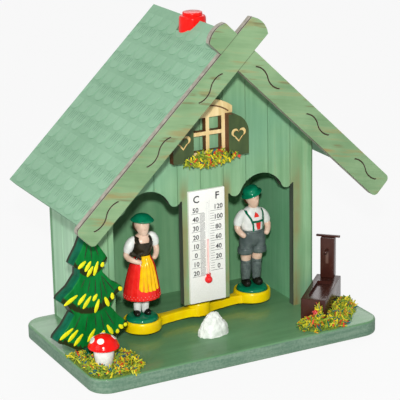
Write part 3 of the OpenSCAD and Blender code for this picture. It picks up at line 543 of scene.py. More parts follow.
# Flowers: moss and dyed wood shavings, strewn on glue under the window and in two beds on the base.
# Most curls are yellow green, and some are red, blue, orange and yellow, as the blossoms.
DYES = [((196, 198, 50), 28), ((154, 174, 48), 19), ((112, 146, 44), 14), ((246, 224, 46), 17),
        ((224, 60, 38), 8), ((28, 98, 122), 7), ((232, 150, 40), 2), ((34, 110, 68), 4)]
MAT_RIM, SPILL, MAT_H, SHAVINGS_H, STEEP = 0.2, 0.14, 0.38, 0.62, 1.6
SHUTTER_X, SHUTTER_Z, SHUTTER_OUT = 9.2 * MM, 94.6 * MM, 3.9 * MM


def alter(piece, kind, **settings):
    """Gives the piece a modifier with these settings and applies it."""
    modifier = piece.modifiers.new(kind.lower(), kind)
    for setting, value in settings.items():
        setattr(modifier, setting, value)
    bpy.ops.object.modifier_apply(modifier=modifier.name)


curl = begin("grid", "shaving", x_subdivisions=1, y_subdivisions=5, size=1)
bpy.ops.transform.resize(value=(0.19, 1, 1))
pick("VERT", lambda vert: abs(vert.co.y) > 0.45)
bpy.ops.transform.resize(value=(0.35, 1, 1))
bpy.ops.object.mode_set(mode="OBJECT")
alter(curl, "SIMPLE_DEFORM", deform_method="BEND", deform_axis="X", angle=math.radians(150))
alter(curl, "SOLIDIFY", thickness=0.07, offset=0.0)
bpy.ops.object.mode_set(mode="EDIT")
close(curl, 60)

dyed = Finish("dyed_shavings", 0.6, 0.3)
shade = dyed.place.noise(1300, 2)
dyed.lay("Base Color", (shade.step(0.25, 0.75) * 0.2).mix(dyed.marked(), (92, 104, 30)))
dyed.lay("Roughness", 0.5 + shade * 0.25)
dyed.relief(shade, 0.1, 0.5)

moss = Finish("moss_mat", 0.85, 0.2)
tuft = moss.place.noise(900, 4, 0.7)
moss.lay("Base Color", tuft.between((78, 104, 40), (136, 156, 56), 0.35, 0.66))
moss.relief(tuft, 0.6, 0.9)


def strew(name, spots, seed, size, dyes=DYES):
    """Shavings on a list of spots, each a point and the way up there, in random turns and dyes."""
    chance = random.Random(seed)
    paints, shares = zip(*dyes)
    places, chosen = [], []
    for spot, up in spots:
        spin = Matrix.Rotation(chance.uniform(0, math.tau), 4, "Z")
        tip = Matrix.Rotation(chance.gauss(0, 0.75), 4, "X") @ Matrix.Rotation(chance.gauss(0, 0.75), 4, "Y")
        lie = up.to_track_quat("Z", "Y").to_matrix().to_4x4()
        length = chance.uniform(*size) * MM
        places.append(Matrix.Translation(spot) @ lie @ tip @ spin @ Matrix.Scale(length, 4))
        chosen.append(colour(*chance.choices(paints, shares)[0]))
    piece = scatter(name, curl, places)
    mark(piece, len(places), lambda copy, point: chosen[copy])
    for vert in piece.data.vertices:
        vert.co.x = clamp(vert.co.x, cad_box[0][0], cad_box[1][0])
        vert.co.y = clamp(vert.co.y, cad_box[0][1], cad_box[1][1])
    fit(piece, "house", dyed, "flower_moss")
    return piece


def bed(name, node, inside, count, seed):
    """A bed on the base board: a lumpy mat of moss over the node's place, covered with shavings.
    inside tells how far a point lies in the bed, from 1 in the middle to 0 at the rim."""
    low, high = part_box(node)
    tall = high.z - low.z
    middle = Vector(((low.x + high.x) / 2, (low.y + high.y) / 2, low.z))

    def lumpy(spot):
        lump = noise.noise(spot * 330) * 0.5 + noise.noise(spot * 900) * 0.25
        share = min(1, STEEP * (inside(spot.x, spot.y) - MAT_RIM))
        rise = tall * MAT_H * math.sqrt(share) * (0.8 + 0.5 * lump)
        return Vector((spot.x, spot.y, low.z + 0.1 * MM + rise))

    mat = begin("grid", f"{name}_moss", x_subdivisions=40, y_subdivisions=40, size=1, location=middle)
    bpy.ops.transform.resize(value=(high.x - low.x, high.y - low.y, 1), center_override=middle)
    pick("VERT", lambda vert: inside(vert.co.x, vert.co.y) <= MAT_RIM)
    bpy.ops.mesh.delete(type="VERT")
    reshape(mat, lumpy)
    pick("EDGE", lambda edge: edge.is_boundary)
    bpy.ops.mesh.extrude_edges_move()
    for vert in bmesh.from_edit_mesh(mat.data).verts:
        if vert.select:
            vert.co.z = low.z
    bpy.ops.mesh.edge_face_add()
    close(mat, 70)
    fit(mat, "house", moss, "flower_moss", node)
    chance = random.Random(seed)
    spots = []
    while len(spots) < count:
        x, y = chance.uniform(low.x - 1.5 * MM, high.x + MM), chance.uniform(low.y, high.y)
        share = inside(x, y)
        if share > 0.01 or -SPILL < share < 0:
            rise = tall * SHAVINGS_H * math.sqrt(min(1, STEEP * max(share, 0))) * chance.uniform(0.55, 1.15)
            lean = Vector((chance.gauss(0, 0.3), chance.gauss(0, 0.3), 1)).normalized()
            spots.append((Vector((x, y, low.z + rise + 0.4 * MM)), lean))
    strew(f"{name}_shavings", spots, seed + 1, (1.6, 4.2))


low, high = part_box("window_flowers")
middle, half = (low + high) / 2, (high - low) / 2


def wall_y(x, z, ease=0.0):
    """How far back the flowers reach: to the wall, or to the fronts of the shutters where those lie."""
    on_shutter = abs(x) >= SHUTTER_X + 2 * ease and z >= SHUTTER_Z
    return high.y - SHUTTER_OUT - ease if on_shutter else high.y


def posy_lump(spot):
    spot = spot + Vector((0, -1, 0.6)) * noise.noise(spot * 500) * 1.2 * MM
    return Vector((spot.x, min(spot.y, wall_y(spot.x, spot.z, 0.05 * MM)), spot.z))


chance = random.Random(5)
spots = []
while len(spots) < 440:
    a, b = chance.uniform(-1, 1), chance.uniform(-1, 1)
    if a * a + b * b < 1:
        swell = math.sqrt(1 - a * a - b * b)
        x, z = middle.x + a * half.x * 0.95, middle.z - 0.5 * MM + b * half.z * 0.76
        y = wall_y(x, z) - (wall_y(x, z) - low.y) * swell * chance.uniform(0.45, 0.92)
        spots.append((Vector((x, y, z)), Vector((a * 0.5, -1, b * 0.6)).normalized()))
window_flowers = strew("window_flowers_shavings", spots, 6, (1.6, 4.0))
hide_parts("window_flowers")
posy = begin("uv_sphere", "window_flowers_moss", segments=32, ring_count=16, radius=1,
             location=middle + Vector((0, 0.8 * MM, 0)), scale=(half.x * 0.8, half.y * 0.42, half.z * 0.46))
reshape(posy, posy_lump)
close(posy, 70)
fit(posy, "house", moss, "flower_moss", "window_flowers")

# Thermometer: a white printed card glued on the post between the doors, with degree lines and numbers
# in thin black ink. The glass tube lies in a groove of the card, its bulb in a hole, and holds a red
# spirit whose thread looks pink in the fine bore.
low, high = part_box("thermometer_card")
card = blank("printed_card", low, high)
pick("EDGE", lambda edge: abs(edge.verts[0].co.y - edge.verts[1].co.y) > 1 * MM)
bpy.ops.mesh.bevel(offset=0.35 * MM, segments=3)
pick("EDGE", lambda edge: all(vert.co.y < low.y + 1e-6 for vert in edge.verts))
bpy.ops.mesh.bevel(offset=0.12 * MM, segments=2)
close(card)
white_card = Finish("card_white_print", 0.42, 0.4)
speck = white_card.place.noise(1500, 2)
mottle = white_card.place.noise(60, 2) * 0.5 + speck * 0.5
white_card.lay("Base Color", mottle.between((240, 240, 232), (251, 251, 246)))
white_card.relief(speck, 0.04, 0.4)
fit(card, "house", white_card, "card_white", "thermometer_card")

# Each scale: its numbers, the height of the first long line and the step to the next, the middle and
# length of a long line, the parts of a step, the middle, length and width of a short line, and the
# place of the first number.
SCALES = [("50 40 30 20 10 0 10 20", 58.9, 4.65, (-5.15, 6.9), 10, (-2.55, 2.9, 0.13), (-6.3, 60.6)),
          ("120 100 80 60 40 20 0", 59.2, 5.15, (5.2, 6.6), 4, (2.85, 2.2, 0.16), (6.2, 61.0))]
INK_Y, INK_T, LINE_W, NUMBER_H = low.y - 0.02 * MM, 0.04 * MM, 0.16, 3.35
marks, words = [], [("C", -5.8, 66.0, 5.0), ("F", 5.7, 66.6, 5.0)]
for numbers, top, gap, (long_x, long), parts, (short_x, short, fine), (word_x, word_z) in SCALES:
    for step, number in enumerate(numbers.split()):
        line_z = top - gap * step
        marks.append((long_x, line_z, long, LINE_W))
        if step:
            marks += [(short_x, line_z + share * gap / parts, short, fine) for share in range(1, parts)]
        words.append((number, word_x, word_z - gap * step, NUMBER_H))


def on_card(x, z):
    return Matrix.Translation((x * MM, INK_Y, (BASE_TOP + z) * MM))


ink = coat("scale_ink", (24, 24, 26), (58, 58, 60), 2200, 2)
stroke = begin("cube", "scale_stroke", size=1)
pick("FACE", lambda part: part.normal.y > 0.5)
bpy.ops.transform.resize(value=(1.0, 1.0, 1.1))
close(stroke)
scale_lines = scatter("scale_lines", stroke, [
    on_card(x, z) @ Matrix.Diagonal((length * MM, INK_T, width * MM, 1)) for x, z, length, width in marks])
fit(scale_lines, "house", ink, "card_white")
bpy.data.objects.remove(stroke)

printed = []
for text, x, z, size in words:
    bpy.ops.object.select_all(action="DESELECT")
    bpy.ops.object.text_add()
    letters = bpy.context.object.data
    letters.body, letters.size, letters.extrude = text, size * MM, INK_T / 2
    letters.offset = 0.02 * size * MM
    letters.align_x, letters.align_y, letters.resolution_u = "CENTER", "CENTER", 3
    bpy.ops.object.convert(target="MESH")
    printed.append(bpy.context.object)
    printed[-1].data.transform(on_card(x, z) @ Matrix.Rotation(math.pi / 2, 4, "X"))
bpy.ops.object.select_all(action="DESELECT")
for word in printed:
    word.select_set(True)
bpy.context.view_layer.objects.active = printed[0]
bpy.ops.object.join()
printed[0].name = printed[0].data.name = "scale_numbers"
fit(printed[0], "house", ink, "card_white")

glass = Finish("tube_glass", Transmission_Weight=1.0, IOR=1.12)
glass.lay("Base Color", glass.place.noise(300, 2).mix((250.5, 252.7, 252.7), (255, 255, 255)))
glass.lay("Roughness", 0.02 + glass.place.noise(900, 2) * 0.04)
glass.lay("Alpha", 0.2 + glass.place.noise(500, 2) * 0.05)
spirit_red = glass.place.noise(800, 2).mix((232, 14, 22), (246, 34, 40))
full = glass.place.node("BsdfPrincipled", {}, {"Base Color": spirit_red, "Roughness": 0.12})
glass.cover(glass.place.axes()[2].span(35.2, 34.2), full)
dress(glass, "thermometer_tube")
spirit = Finish("red_spirit", 0.3, 0.2)
thread = spirit.place.axes()[2].span(33.8, 34.8) + spirit.place.noise(800, 2) * 0.1
spirit.lay("Base Color", thread.mix((240, 18, 24), (252, 206, 201)))
dress(spirit, "thermometer_liquid")

# Fir tree: a flat board sawn in three tiers of boughs, with its edges a little rounded. It is painted a
# glossy dark green, teal along the edges, with yellow dabs at the tips of the boughs and thin black
# strokes between them, and it is glued upright on the base beside the house.
TREE_T, TREE_EDGE, TRUNK_H = 8 * MM, 0.6 * MM, 8 * MM


def placed(spot, turn=0, axis="Z"):
    """A place in millimetres, turned by some degrees about an axis."""
    return Matrix.Translation(Vector(spot) * MM) @ Matrix.Rotation(math.radians(turn), 4, axis)


TREE = placed((-67.8, -20.4, BASE_TOP), 6)
FIR = [(3, 0), (3, 7.5), (9.6, 7.5), (15.6, 11.4), (18.3, 12.4), (19.3, 13.7), (18.6, 15.2), (14, 19.4),
       (9.8, 25), (13.2, 30.4), (15.7, 31.6), (16.7, 32.7), (16, 34.2), (10.6, 37.8), (6.2, 43),
       (5.9, 46.6), (8.3, 48.1), (9.2, 49.2), (8.5, 50.6), (4.6, 56.6), (1.6, 63), (0.6, 65.6)]
tree = sawn("fir_board", FIR + [(-x, z) for x, z in reversed(FIR)])
pull(0, 0, -TREE_T)
pick("EDGE", lambda edge: edge.verts[0].co.y > TRUNK_H
     and abs(edge.verts[0].co.z - edge.verts[1].co.z) < 1e-6)
bpy.ops.mesh.bevel(offset=TREE_EDGE, segments=3)
close(tree, 30)
tree.data.transform(TREE @ Matrix.Rotation(math.pi / 2, 4, "X"))

lacquer = Finish("fir_green_lacquer", 0.34, 0.06)
own = lacquer.place.within(TREE)
across, deep, up = own.axes()
brushed = own.grain((230, 230, 60), 4)
strokes = own.grain((430, 100, 40), 3)
leaf = brushed.between((4, 100, 36), (12, 124, 54))
for tier_z, bend in ((5.6, 23), (24.8, 33), (43.1, 80)):
    rise = up - (tier_z * MM + across * across * bend)
    shade = (rise + strokes * (8.5 * MM)).span(7.0, 6.0) * (rise + strokes * (2 * MM)).span(-0.4, 0.4)
    leaf = (shade * 0.92).mix(leaf, (40, 36, 18))
rim = brushed.between((0, 84, 56), (8, 112, 80))
# The sawn edges are painted dark brown where they face downwards and along their back part: painted shade
# under the boughs and behind them.
under = lacquer.facing.axes()[2].step(-0.15, -0.45)
behind = lacquer.facing.axes()[1].step(0.85, 0.6)
edge = ((under * 0.95 + deep.span(5.0, 6.6)) * behind).mix(rim, (42, 42, 28))
lacquer.lay("Base Color", deep.span(0.7, 0.2).mix(edge, leaf))
lacquer.lay("Roughness", 0.2 + brushed * 0.2)
lacquer.relief(brushed, 0.3, 0.4)
fit(tree, "house", lacquer, "tree_green", "fir_tree")

# Each stroke of the brush: its middle across and up, its length and its lean in degrees.
DABS = [(-4.8, 48.8, 5.3, 56), (-1.7, 47.4, 5.8, 36), (-0.7, 44.7, 5.8, 36), (2.5, 45.5, 7.3, 20),
        (6.1, 46.7, 2.6, 15), (-11.5, 32.7, 8.5, 64), (-5.6, 31.9, 6.6, 45), (-3.0, 29.8, 7.3, 40),
        (1.4, 31.3, 4.0, 38), (2.3, 26.8, 7.1, 21), (7.7, 27.8, 5.6, -22), (10.8, 29.9, 3.6, -8),
        (15.2, 32.7, 2.8, -40), (-14.6, 16.6, 8.7, 61), (-11.2, 14.9, 7.5, 50), (-8.4, 12.2, 7.2, 46),
        (-1.4, 12.8, 7.2, 36), (5.2, 12.7, 2.4, 24), (8.8, 13.4, 6.4, -30), (14.9, 13.5, 3.2, -46),
        (12.9, 11.6, 2.4, -20), (17.4, 13.9, 2.2, -50)]
LINES = [(6.5, 36.4, 11.0, -15), (8.9, 36.6, 12.9, -37), (4.9, 32.2, 14.3, -4), (-4.7, 39.7, 4.6, 30),
         (-1.6, 37.5, 7, 14), (1.8, 36.5, 8, 3), (1.2, 19.5, 7, -3), (4.8, 18.5, 9, -10),
         (8.8, 19.5, 10, -28), (-3.8, 19.2, 8, 11), (-8.7, 20.7, 8.8, 31), (-2.3, 55.5, 9, 14),
         (2.7, 55.5, 9, -20), (0.2, 54.5, 9, -3)]
dab = begin("uv_sphere", "brush_dab", segments=12, ring_count=8, radius=0.5)
pick("VERT", lambda vert: vert.co.y > 1e-4)
bpy.ops.transform.resize(value=(1, 0.05, 1))
pick("VERT", lambda vert: vert.co.z > 0.1)
bpy.ops.transform.resize(value=(0.85, 0.9, 1.0))
close(dab, 60)
yellow_dab = coat("yellow_brush_dabs", (222, 220, 8), (242, 238, 22), 500, 3, 0.35, 0.3)
black_line = coat("black_brush_lines", (18, 34, 16), (36, 50, 24), 700, 2, 0.4, 0.3)
for name, brush_strokes, wide, thick, paint in (("fir_yellow_dabs", DABS, 2.2, 0.5, yellow_dab),
                                                ("fir_black_lines", LINES, 0.6, 0.16, black_line)):
    places = [TREE @ placed((x, 0.02, z), lean, "Y") @ Matrix.Diagonal((wide * MM, thick * MM, long * MM, 1))
              for x, z, long, lean in brush_strokes]
    fit(scatter(name, dab, places), "house", paint, "tree_green")
bpy.data.objects.remove(dab)

# Toadstool: a stem and a domed cap turned from wood and glued together. The stem is white, the cap is
# dipped in glossy red, and the white spots are thick drops of paint. It stands in the left bed.
STALK = Vector((-68.3, -32.4, BASE_TOP)) * MM
CAP_Z, DOME, DOME_R = 10.9, 6.5, 7.577
LEFT_BED, LEFT_HALF = Vector((-67.8, -28.4)) * MM, Vector((17.8, 19.6)) * MM
CORNER_AT, STALK_ROOM = Vector((68.6, 35.4)) * MM, 3.6 * MM


def turned(name, outline, foot=Vector((0, 0, 0)), sides=48):
    """A lathe piece on an upright axis over foot: a disc that is drawn up and sized ring by ring."""
    (radius, height), *rest = outline
    piece = begin("circle", name, vertices=sides, radius=radius * MM, fill_type="NGON",
                  location=foot + UP * height * MM)
    for wide, tall in rest:
        pull(0, 0, (tall - height) * MM)
        share = wide / radius
        bpy.ops.transform.resize(value=(share, share, 1), center_override=foot + UP * tall * MM)
        radius, height = wide, tall
    return piece


def outward(azimuth, elevation):
    """The way from the middle towards an azimuth, from the front round to the right, and an elevation."""
    a, e = math.radians(azimuth), math.radians(elevation)
    return Vector((math.sin(a) * math.cos(e), -math.cos(a) * math.cos(e), math.sin(e)))


STEM = [(2.9, 0), (3.3, 1.2), (4.1, 3.6), (4.6, 6.8), (4.8, 8.2), (4.7, 10), (4.4, CAP_Z)]
chalk = coat("white_lacquer", (226, 228, 222), (246, 247, 242), 300, 3, 0.35, 0.4, (0.2, 0.4))
fit(close(turned("toadstool_stem", STEM, STALK)), "house", chalk, "mushroom_white", "mushroom_stem")

dome = [(4.0, 0), (6.6, 0), (7.3, 0.25), (7.5, 0.8)]
dome += [(math.sqrt(DOME_R ** 2 - (z - DOME + DOME_R) ** 2), z) for z in (1.4, 2.2, 3.2, 4.2, 5.1, 5.8, 6.3)]
dome += [(0.25, 6.49)]
cap = close(turned("toadstool_cap", [(radius, CAP_Z + z) for radius, z in dome], STALK), 50)
red_lacquer = coat("red_lacquer", (238, 18, 14), (250, 30, 22), 160, 3, 0.16, 0.14, (0.3, 0.35))
fit(cap, "house", red_lacquer, "mushroom_red", "mushroom_cap")

spot_drop = begin("uv_sphere", "paint_drop", segments=14, ring_count=8, radius=0.5)
pick("VERT", lambda vert: vert.co.z < -1e-4)
bpy.ops.transform.resize(value=(1.05, 1.05, 0.4))
close(spot_drop, 60)
drops = []
for azimuth, rise, wide in ((-97, 44, 3.5), (-40, 51, 3.5), (74, 50, 3.3), (-25, 27, 1.0), (128, 28, 3.2),
                            (160, 58, 3.0), (186, 28, 3.2), (226, 44, 3.0)):
    out = outward(azimuth, rise)
    centre = STALK + UP * (CAP_Z + DOME - DOME_R) * MM + out * DOME_R * MM
    drops.append(Matrix.Translation(centre) @ out.to_track_quat("Z", "Y").to_matrix().to_4x4()
                 @ Matrix.Diagonal((wide * MM, wide * MM * 0.92, 0.5 * MM, 1)))
fit(scatter("toadstool_spots", spot_drop, drops), "house", chalk, "mushroom_white")
bpy.data.objects.remove(spot_drop)


def over_base(x, y, inset):
    """Whether a place lies on the base board, clear of its edge by an inset."""
    dx, dy = max(abs(x) - CORNER_AT.x, 0), max(abs(y) - CORNER_AT.y, 0)
    return math.hypot(dx, dy) < CORNER_R - inset


def in_left_bed(x, y):
    if not over_base(x, y, 0.2 * MM) or math.hypot(x - STALK.x, y - STALK.y) < STALK_ROOM:
        return 0
    dx, dy = x - LEFT_BED.x, y - LEFT_BED.y
    wave = 1 + 0.09 * math.sin(9 * math.atan2(dy, dx))
    return 1 - (dx / LEFT_HALF.x) ** 2 / wave - (dy / LEFT_HALF.y) ** 2 / wave


bed("left_bed", "left_flower_bed", in_left_bed, 1200, 21)

# Stone: a rough piece of white quartz with chipped sides and a flat underside, as it was broken. It is
# glued on the base in front of the figure bar.
low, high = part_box("white_stone")
middle, half = (low + high) / 2, (high - low) / 2


def chipped(way):
    """Where a point of a unit ball lies on the stone: flat below, peaked and knocked about above."""
    chip = 0.16 * noise.noise(way * 1.9 + Vector((3, 1, 8))) + 0.09 * noise.noise(way * 4.5)
    chip += 0.035 * noise.noise(way * 11)
    share = max(0, (way.z + 0.3) / 1.3)
    wide = (1 - min(share, 1) ** 1.4) ** 0.6 if share else way.xy.length / 0.954
    spread = way.xy.normalized() * wide * (1.04 + chip)
    return Vector((clamp(middle.x + half.x * spread.x, low.x, high.x),
                   clamp(middle.y + half.y * spread.y, low.y, high.y),
                   low.z + (high.z - low.z) * min(1, share * (1 + chip * 0.6))))


stone = begin("ico_sphere", "quartz_stone", subdivisions=5, radius=1)
reshape(stone, chipped)
close(stone, 40)
quartz = Finish("white_quartz", 0.5, 0.45)
grit = quartz.place.noise(700, 4, 0.65)
cloudy = grit * 0.6 + quartz.place.noise(150, 3) * 0.4
quartz.lay("Base Color", cloudy.between((222, 226, 218), (247, 249, 243), 0.35, 0.65))
quartz.lay("Roughness", 0.4 + grit * 0.3)
quartz.relief(grit, 0.5, 0.7)
fit(stone, "house", quartz, "stone_white", "white_stone")

# Trough: a solid block with a long basin sunk in its top, a post with a thin strip across its top and a
# round peg as the spout, all of wood dipped in a glossy dark brown. The block is glued on the base and the
# post on it.
LIE = placed((59, -18.3, BASE_TOP), 46)
TROUGH_LOW, TROUGH_HIGH, RIM_W = Vector((-18.75, -6.3, 0)) * MM, Vector((18.75, 6.3, 12.2)) * MM, 2.6 * MM
BASIN_R, BASIN_END, BASIN_BACK, BASIN_DEEP = 3.7 * MM, -12.45 * MM, -7.6 * MM, 1.6 * MM
WIDTH_IN, HALF_UP, FRONT_END = 5 * MM, 6 * MM, -10 * MM
# The right bed, seen from the trough: two ovals, beside it and before it, each a middle and two halves.
RIGHT_OVALS, TROUGH_ROOM = [(-7, -9.8, 23, 7), (-24.5, -2, 7.5, 8)], Vector((19, 6.6))


def block(name, low, high):
    """A sawn block between two corners in millimetres, with all its edges softened."""
    piece = blank(name, Vector(low) * MM, Vector(high) * MM)
    bpy.ops.mesh.bevel(offset=0.3 * MM, segments=2)
    return close(piece, 30)


def on_rim(vert):
    return vert.co.z > HALF_UP and abs(vert.co.y) < WIDTH_IN


def round_end(spot):
    """Bends the front edge of the basin to a half circle."""
    if spot.z < HALF_UP or spot.x > FRONT_END or abs(spot.y) > BASIN_R + 0.1 * MM:
        return spot
    return Vector((BASIN_END - math.sqrt(max(0, BASIN_R ** 2 - spot.y ** 2)), spot.y, spot.z))


brown = Finish("brown_lacquer", 0.2, 0.25)
own = brown.place.within(LIE)
across, deep, up = own.axes()
fibres = own.grain((40, 300, 300), 3)
# A paler upright strip on the post's front under the peg is a painted reflection of the peg.
peg_reflection = abs(deep).span(0.9, 0.5) * abs(up - 23.2 * MM).span(3.4, 3.0) * across.span(13.9, 13.8)
cloudy = fibres * 0.5 + brown.place.noise(60, 2) * 0.5
brown.lay("Base Color", (peg_reflection * 0.5).mix(cloudy.between((60, 28, 22), (74, 40, 31)), (132, 104, 92)))
brown.lay("Roughness", 0.18 + fibres * 0.12)
brown.relief(fibres, 0.06, 0.3)

basin = blank("trough_block", TROUGH_LOW, TROUGH_HIGH)
pick("FACE", lambda part: part.normal.z > 0.5)
bpy.ops.mesh.inset(thickness=RIM_W)
pick("VERT", lambda vert: on_rim(vert) and vert.co.x > 0)
bpy.ops.transform.translate(value=(BASIN_BACK, 0, 0))
pick("EDGE", lambda edge: all(on_rim(vert) and vert.co.x < FRONT_END for vert in edge.verts))
bpy.ops.mesh.subdivide(number_cuts=5)
reshape(basin, round_end)
pick("FACE", lambda part: part.normal.z > 0.5
     and all(abs(vert.co.y) < BASIN_R + 0.1 * MM for vert in part.verts))
pull(0, 0, -BASIN_DEEP)
pick("EDGE", lambda edge: edge.is_manifold and edge.calc_face_angle(0) > 0.7 and all(
    abs(vert.co.y) > 6 * MM or abs(vert.co.x) > 18.5 * MM for vert in edge.verts))
bpy.ops.mesh.bevel(offset=0.5 * MM, segments=2)
close(basin, 30)
pillar = block("trough_pillar", (13.75, -3.6, 12.2), (18.75, 3.6, 33.6))
strip = block("pillar_strip", (15.55, -6.2, 33.6), (16.95, 6.2, 34.7))
peg = close(turned("trough_peg", [(0.9, 0), (0.9, 4.4), (0.75, 4.8), (0.4, 5)], sides=20), 40)
peg.data.transform(placed((13.75, 0, 27.2), -90, "Y"))
for piece, node in ((basin, "trough"), (pillar, "trough_post"), (strip, "post_cap"), (peg, "trough_spout")):
    piece.data.transform(LIE)
    fit(piece, "house", brown, "trough_brown", node)


def in_right_bed(x, y):
    if not over_base(x, y, 0.6 * MM):
        return 0
    own = LIE.inverted() @ Vector((x, y, 0)) / MM
    if abs(own.x) < TROUGH_ROOM.x and abs(own.y) < TROUGH_ROOM.y:
        return 0
    return max(1 - ((own.x - middle_x) / half_x) ** 2 - ((own.y - middle_y) / half_y) ** 2
               for middle_x, middle_y, half_x, half_y in RIGHT_OVALS)


bed("right_bed", "right_flower_bed", in_right_bed, 760, 31)
chance = random.Random(37)
TUFT, TUFT_R, TUFT_H = Vector((-21.2 * MM, -3.4 * MM, 0)), 3.6 * MM, 10.5 * MM
spots = []
for _ in range(120):
    turn, height = chance.uniform(0, math.tau), chance.random() ** 1.3
    out = Vector((math.cos(turn), math.sin(turn), 0)) * chance.uniform(0.4, 1) * TUFT_R * (1 - 0.75 * height)
    spot = TUFT + Vector((min(out.x, 1.8 * MM), out.y, TUFT_H * height + 0.5 * MM))
    spots.append((LIE @ spot, (out * 500 + UP * 0.6).normalized()))
strew("right_bed_tuft", spots, 38, (1.8, 3.6))

BLOSSOM, BLOSSOM_R = LIE @ (TUFT + UP * 7.4 * MM) + Vector((-2.6, -0.8, 0)) * MM, 0.9 * MM
petals = []
for _ in range(34):
    way = Vector((chance.gauss(0, 1), chance.gauss(0, 1), chance.gauss(0.4, 1))).normalized()
    petals.append((BLOSSOM + way * BLOSSOM_R, way))
strew("right_bed_blossom", petals, 41, (1.3, 2.0), [((228, 52, 58), 4), ((246, 126, 128), 1)])
bpy.data.objects.remove(curl)

# Chimney: a turned knob of red plastic that sits in the hole through the ridge and turns by hand. Its
# stem runs down through the ridge block and holds the upper end of the gut.
KNOB = [(3, 123.92), (3, 140.0), (6.5, 140.0), (6.95, 140.3), (7.0, 140.8), (6.85, 144), (6.6, 150),
        (6.5, 153.3), (6.35, 153.9), (6.0, 154.35), (5.6, 154.55), (4.8, 154.6), (4.8, 155.8), (4.65, 156.1),
        (4.4, 156.2)]
chimney = close(turned("chimney_turned", KNOB, Vector((0, AXIS_Y, BASE_TOP)) * MM, 64), 28)
fit(chimney, "adjuster", red_lacquer, "chimney_red", "chimney_knob")

# Figure bar: a bar with a cup at each end and a hub in the middle, moulded in one piece of glossy yellow
# plastic. It hangs on the gut just over the base, and the figures' feet are glued into the cups.
BAR_Z, BAR_T, ARM = 10.2, 4.3 * MM, 33.9
BAR = placed((0, AXIS_Y, BAR_Z), 8)
CUP = [(8.9, 0), (9.4, 0.3), (9.6, 1.0), (9.6, 4.2), (9.4, 5.1), (9.0, 5.5), (8.5, 5.5), (8.25, 5.2),
       (8.2, 3.5)]
HUB = [(5.5, 0), (6.0, 0.5), (6.0, 5.6), (5.7, 6.4), (5.0, 6.8), (1.0, 6.8), (0.9, 6.4)]
edge = [(0, 5.8), (3, 5.1), (5.4, 3.4), (7.6, 2.6), (12, 2.3), (20, 2.3), (23.4, 2.7), (25.6, 3.9),
        (27.4, 6.2), (ARM, 6.8)]
edge = edge + [(x, -y) for x, y in reversed(edge)]
edge = edge + [(-x, y) for x, y in reversed(edge) if x]
bar = sawn("bar_arms", edge)
pull(0, 0, BAR_T)
pick("EDGE", lambda edge: all(vert.co.z > BAR_T - 0.3 * MM for vert in edge.verts))
bpy.ops.mesh.bevel(offset=0.7 * MM, segments=3)
bar_parts = [close(bar, 40)]
for side in (-1, 1):
    bar_parts.append(close(turned(f"bar_cup_{side + 1}", CUP, Vector((side * ARM * MM, 0, 0)), 64), 40))
bar_parts.append(close(turned("bar_hub", HUB), 40))
yellow = coat("bar_yellow_plastic", (248, 206, 0), (255, 224, 6), 120, 3, 0.2, 0.25, (0.3, 0.3))
yellow.lay("Roughness", 0.16 + yellow.place.noise(60, 2) * 0.14)
for piece in bar_parts:
    piece.data.transform(BAR)
    fit(piece, "figure_carrier", yellow, "bar_yellow", "figure_bar")

# Gut: three strands of dried gut twisted into one string. It hangs from the chimney's stem, and the plug
# holds its lower end in the hub. Damp air untwists it, and so it swings the bar one way or the other.
GUT_LONG, TWISTS, STRAND_R, STRAND_OUT = 130.2 * MM, 26, 0.29 * MM, 0.3 * MM
gut = begin("circle", "gut_strands", vertices=8, radius=STRAND_R, location=(STRAND_OUT, 0, 0))
for turn in (math.tau / 3, math.tau * 2 / 3):
    bpy.ops.mesh.primitive_circle_add(vertices=8, radius=STRAND_R, location=(
        STRAND_OUT * math.cos(turn), STRAND_OUT * math.sin(turn), 0))
bpy.ops.object.mode_set(mode="OBJECT")
alter(gut, "SCREW", axis="Z", screw_offset=GUT_LONG, angle=TWISTS * math.tau, steps=TWISTS * 8,
      render_steps=TWISTS * 8)
bpy.ops.object.mode_set(mode="EDIT")
bpy.ops.mesh.select_all(action="SELECT")
bpy.ops.mesh.fill_holes(sides=8)
close(gut, 60)
gut.data.transform(placed((0, AXIS_Y, BAR_Z)))
catgut = coat("catgut", (186, 150, 92), (226, 198, 142), 900, 3, 0.35)
catgut.shader.inputs["Subsurface Weight"].default_value = 0.2
gut.data.materials.append(catgut.paint)
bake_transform(gut)
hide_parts("gut_string")

# Woman: a figure moulded in plastic and painted by hand with glossy colours, for fair weather, in a green
# beret, a dark bodice with a bow, a red skirt and a yellow apron. Its round green foot is glued into the
# left cup of the bar.
FOOT = [(7.5, 0), (7.9, 0.3), (8.0, 0.9), (8.0, 2.0), (7.8, 2.8), (7.2, 3.4), (6.2, 3.7), (4.0, 3.8)]
CUP_FLOOR, ON_FOOT = 3.5, placed((0, 0, 3.8))
STAND = {}


def stand(who, side, turn):
    """Sets a figure's foot into the cup on a side of the bar, turned by some degrees."""
    STAND[who] = BAR @ placed((side * ARM, 0, CUP_FLOOR), turn)
    wear(close(turned(f"{who}_foot", FOOT, sides=56), 40), foot_green, Matrix())


def wear(piece, paint, place=ON_FOOT):
    """Puts a piece in its place on the figure that its name begins with, and paints it."""
    who = piece.name.split("_")[0]
    piece.data.transform(STAND[who] @ place)
    fit(piece, "figure_carrier", paint, f"{who}_paint", f"{who}_figure")


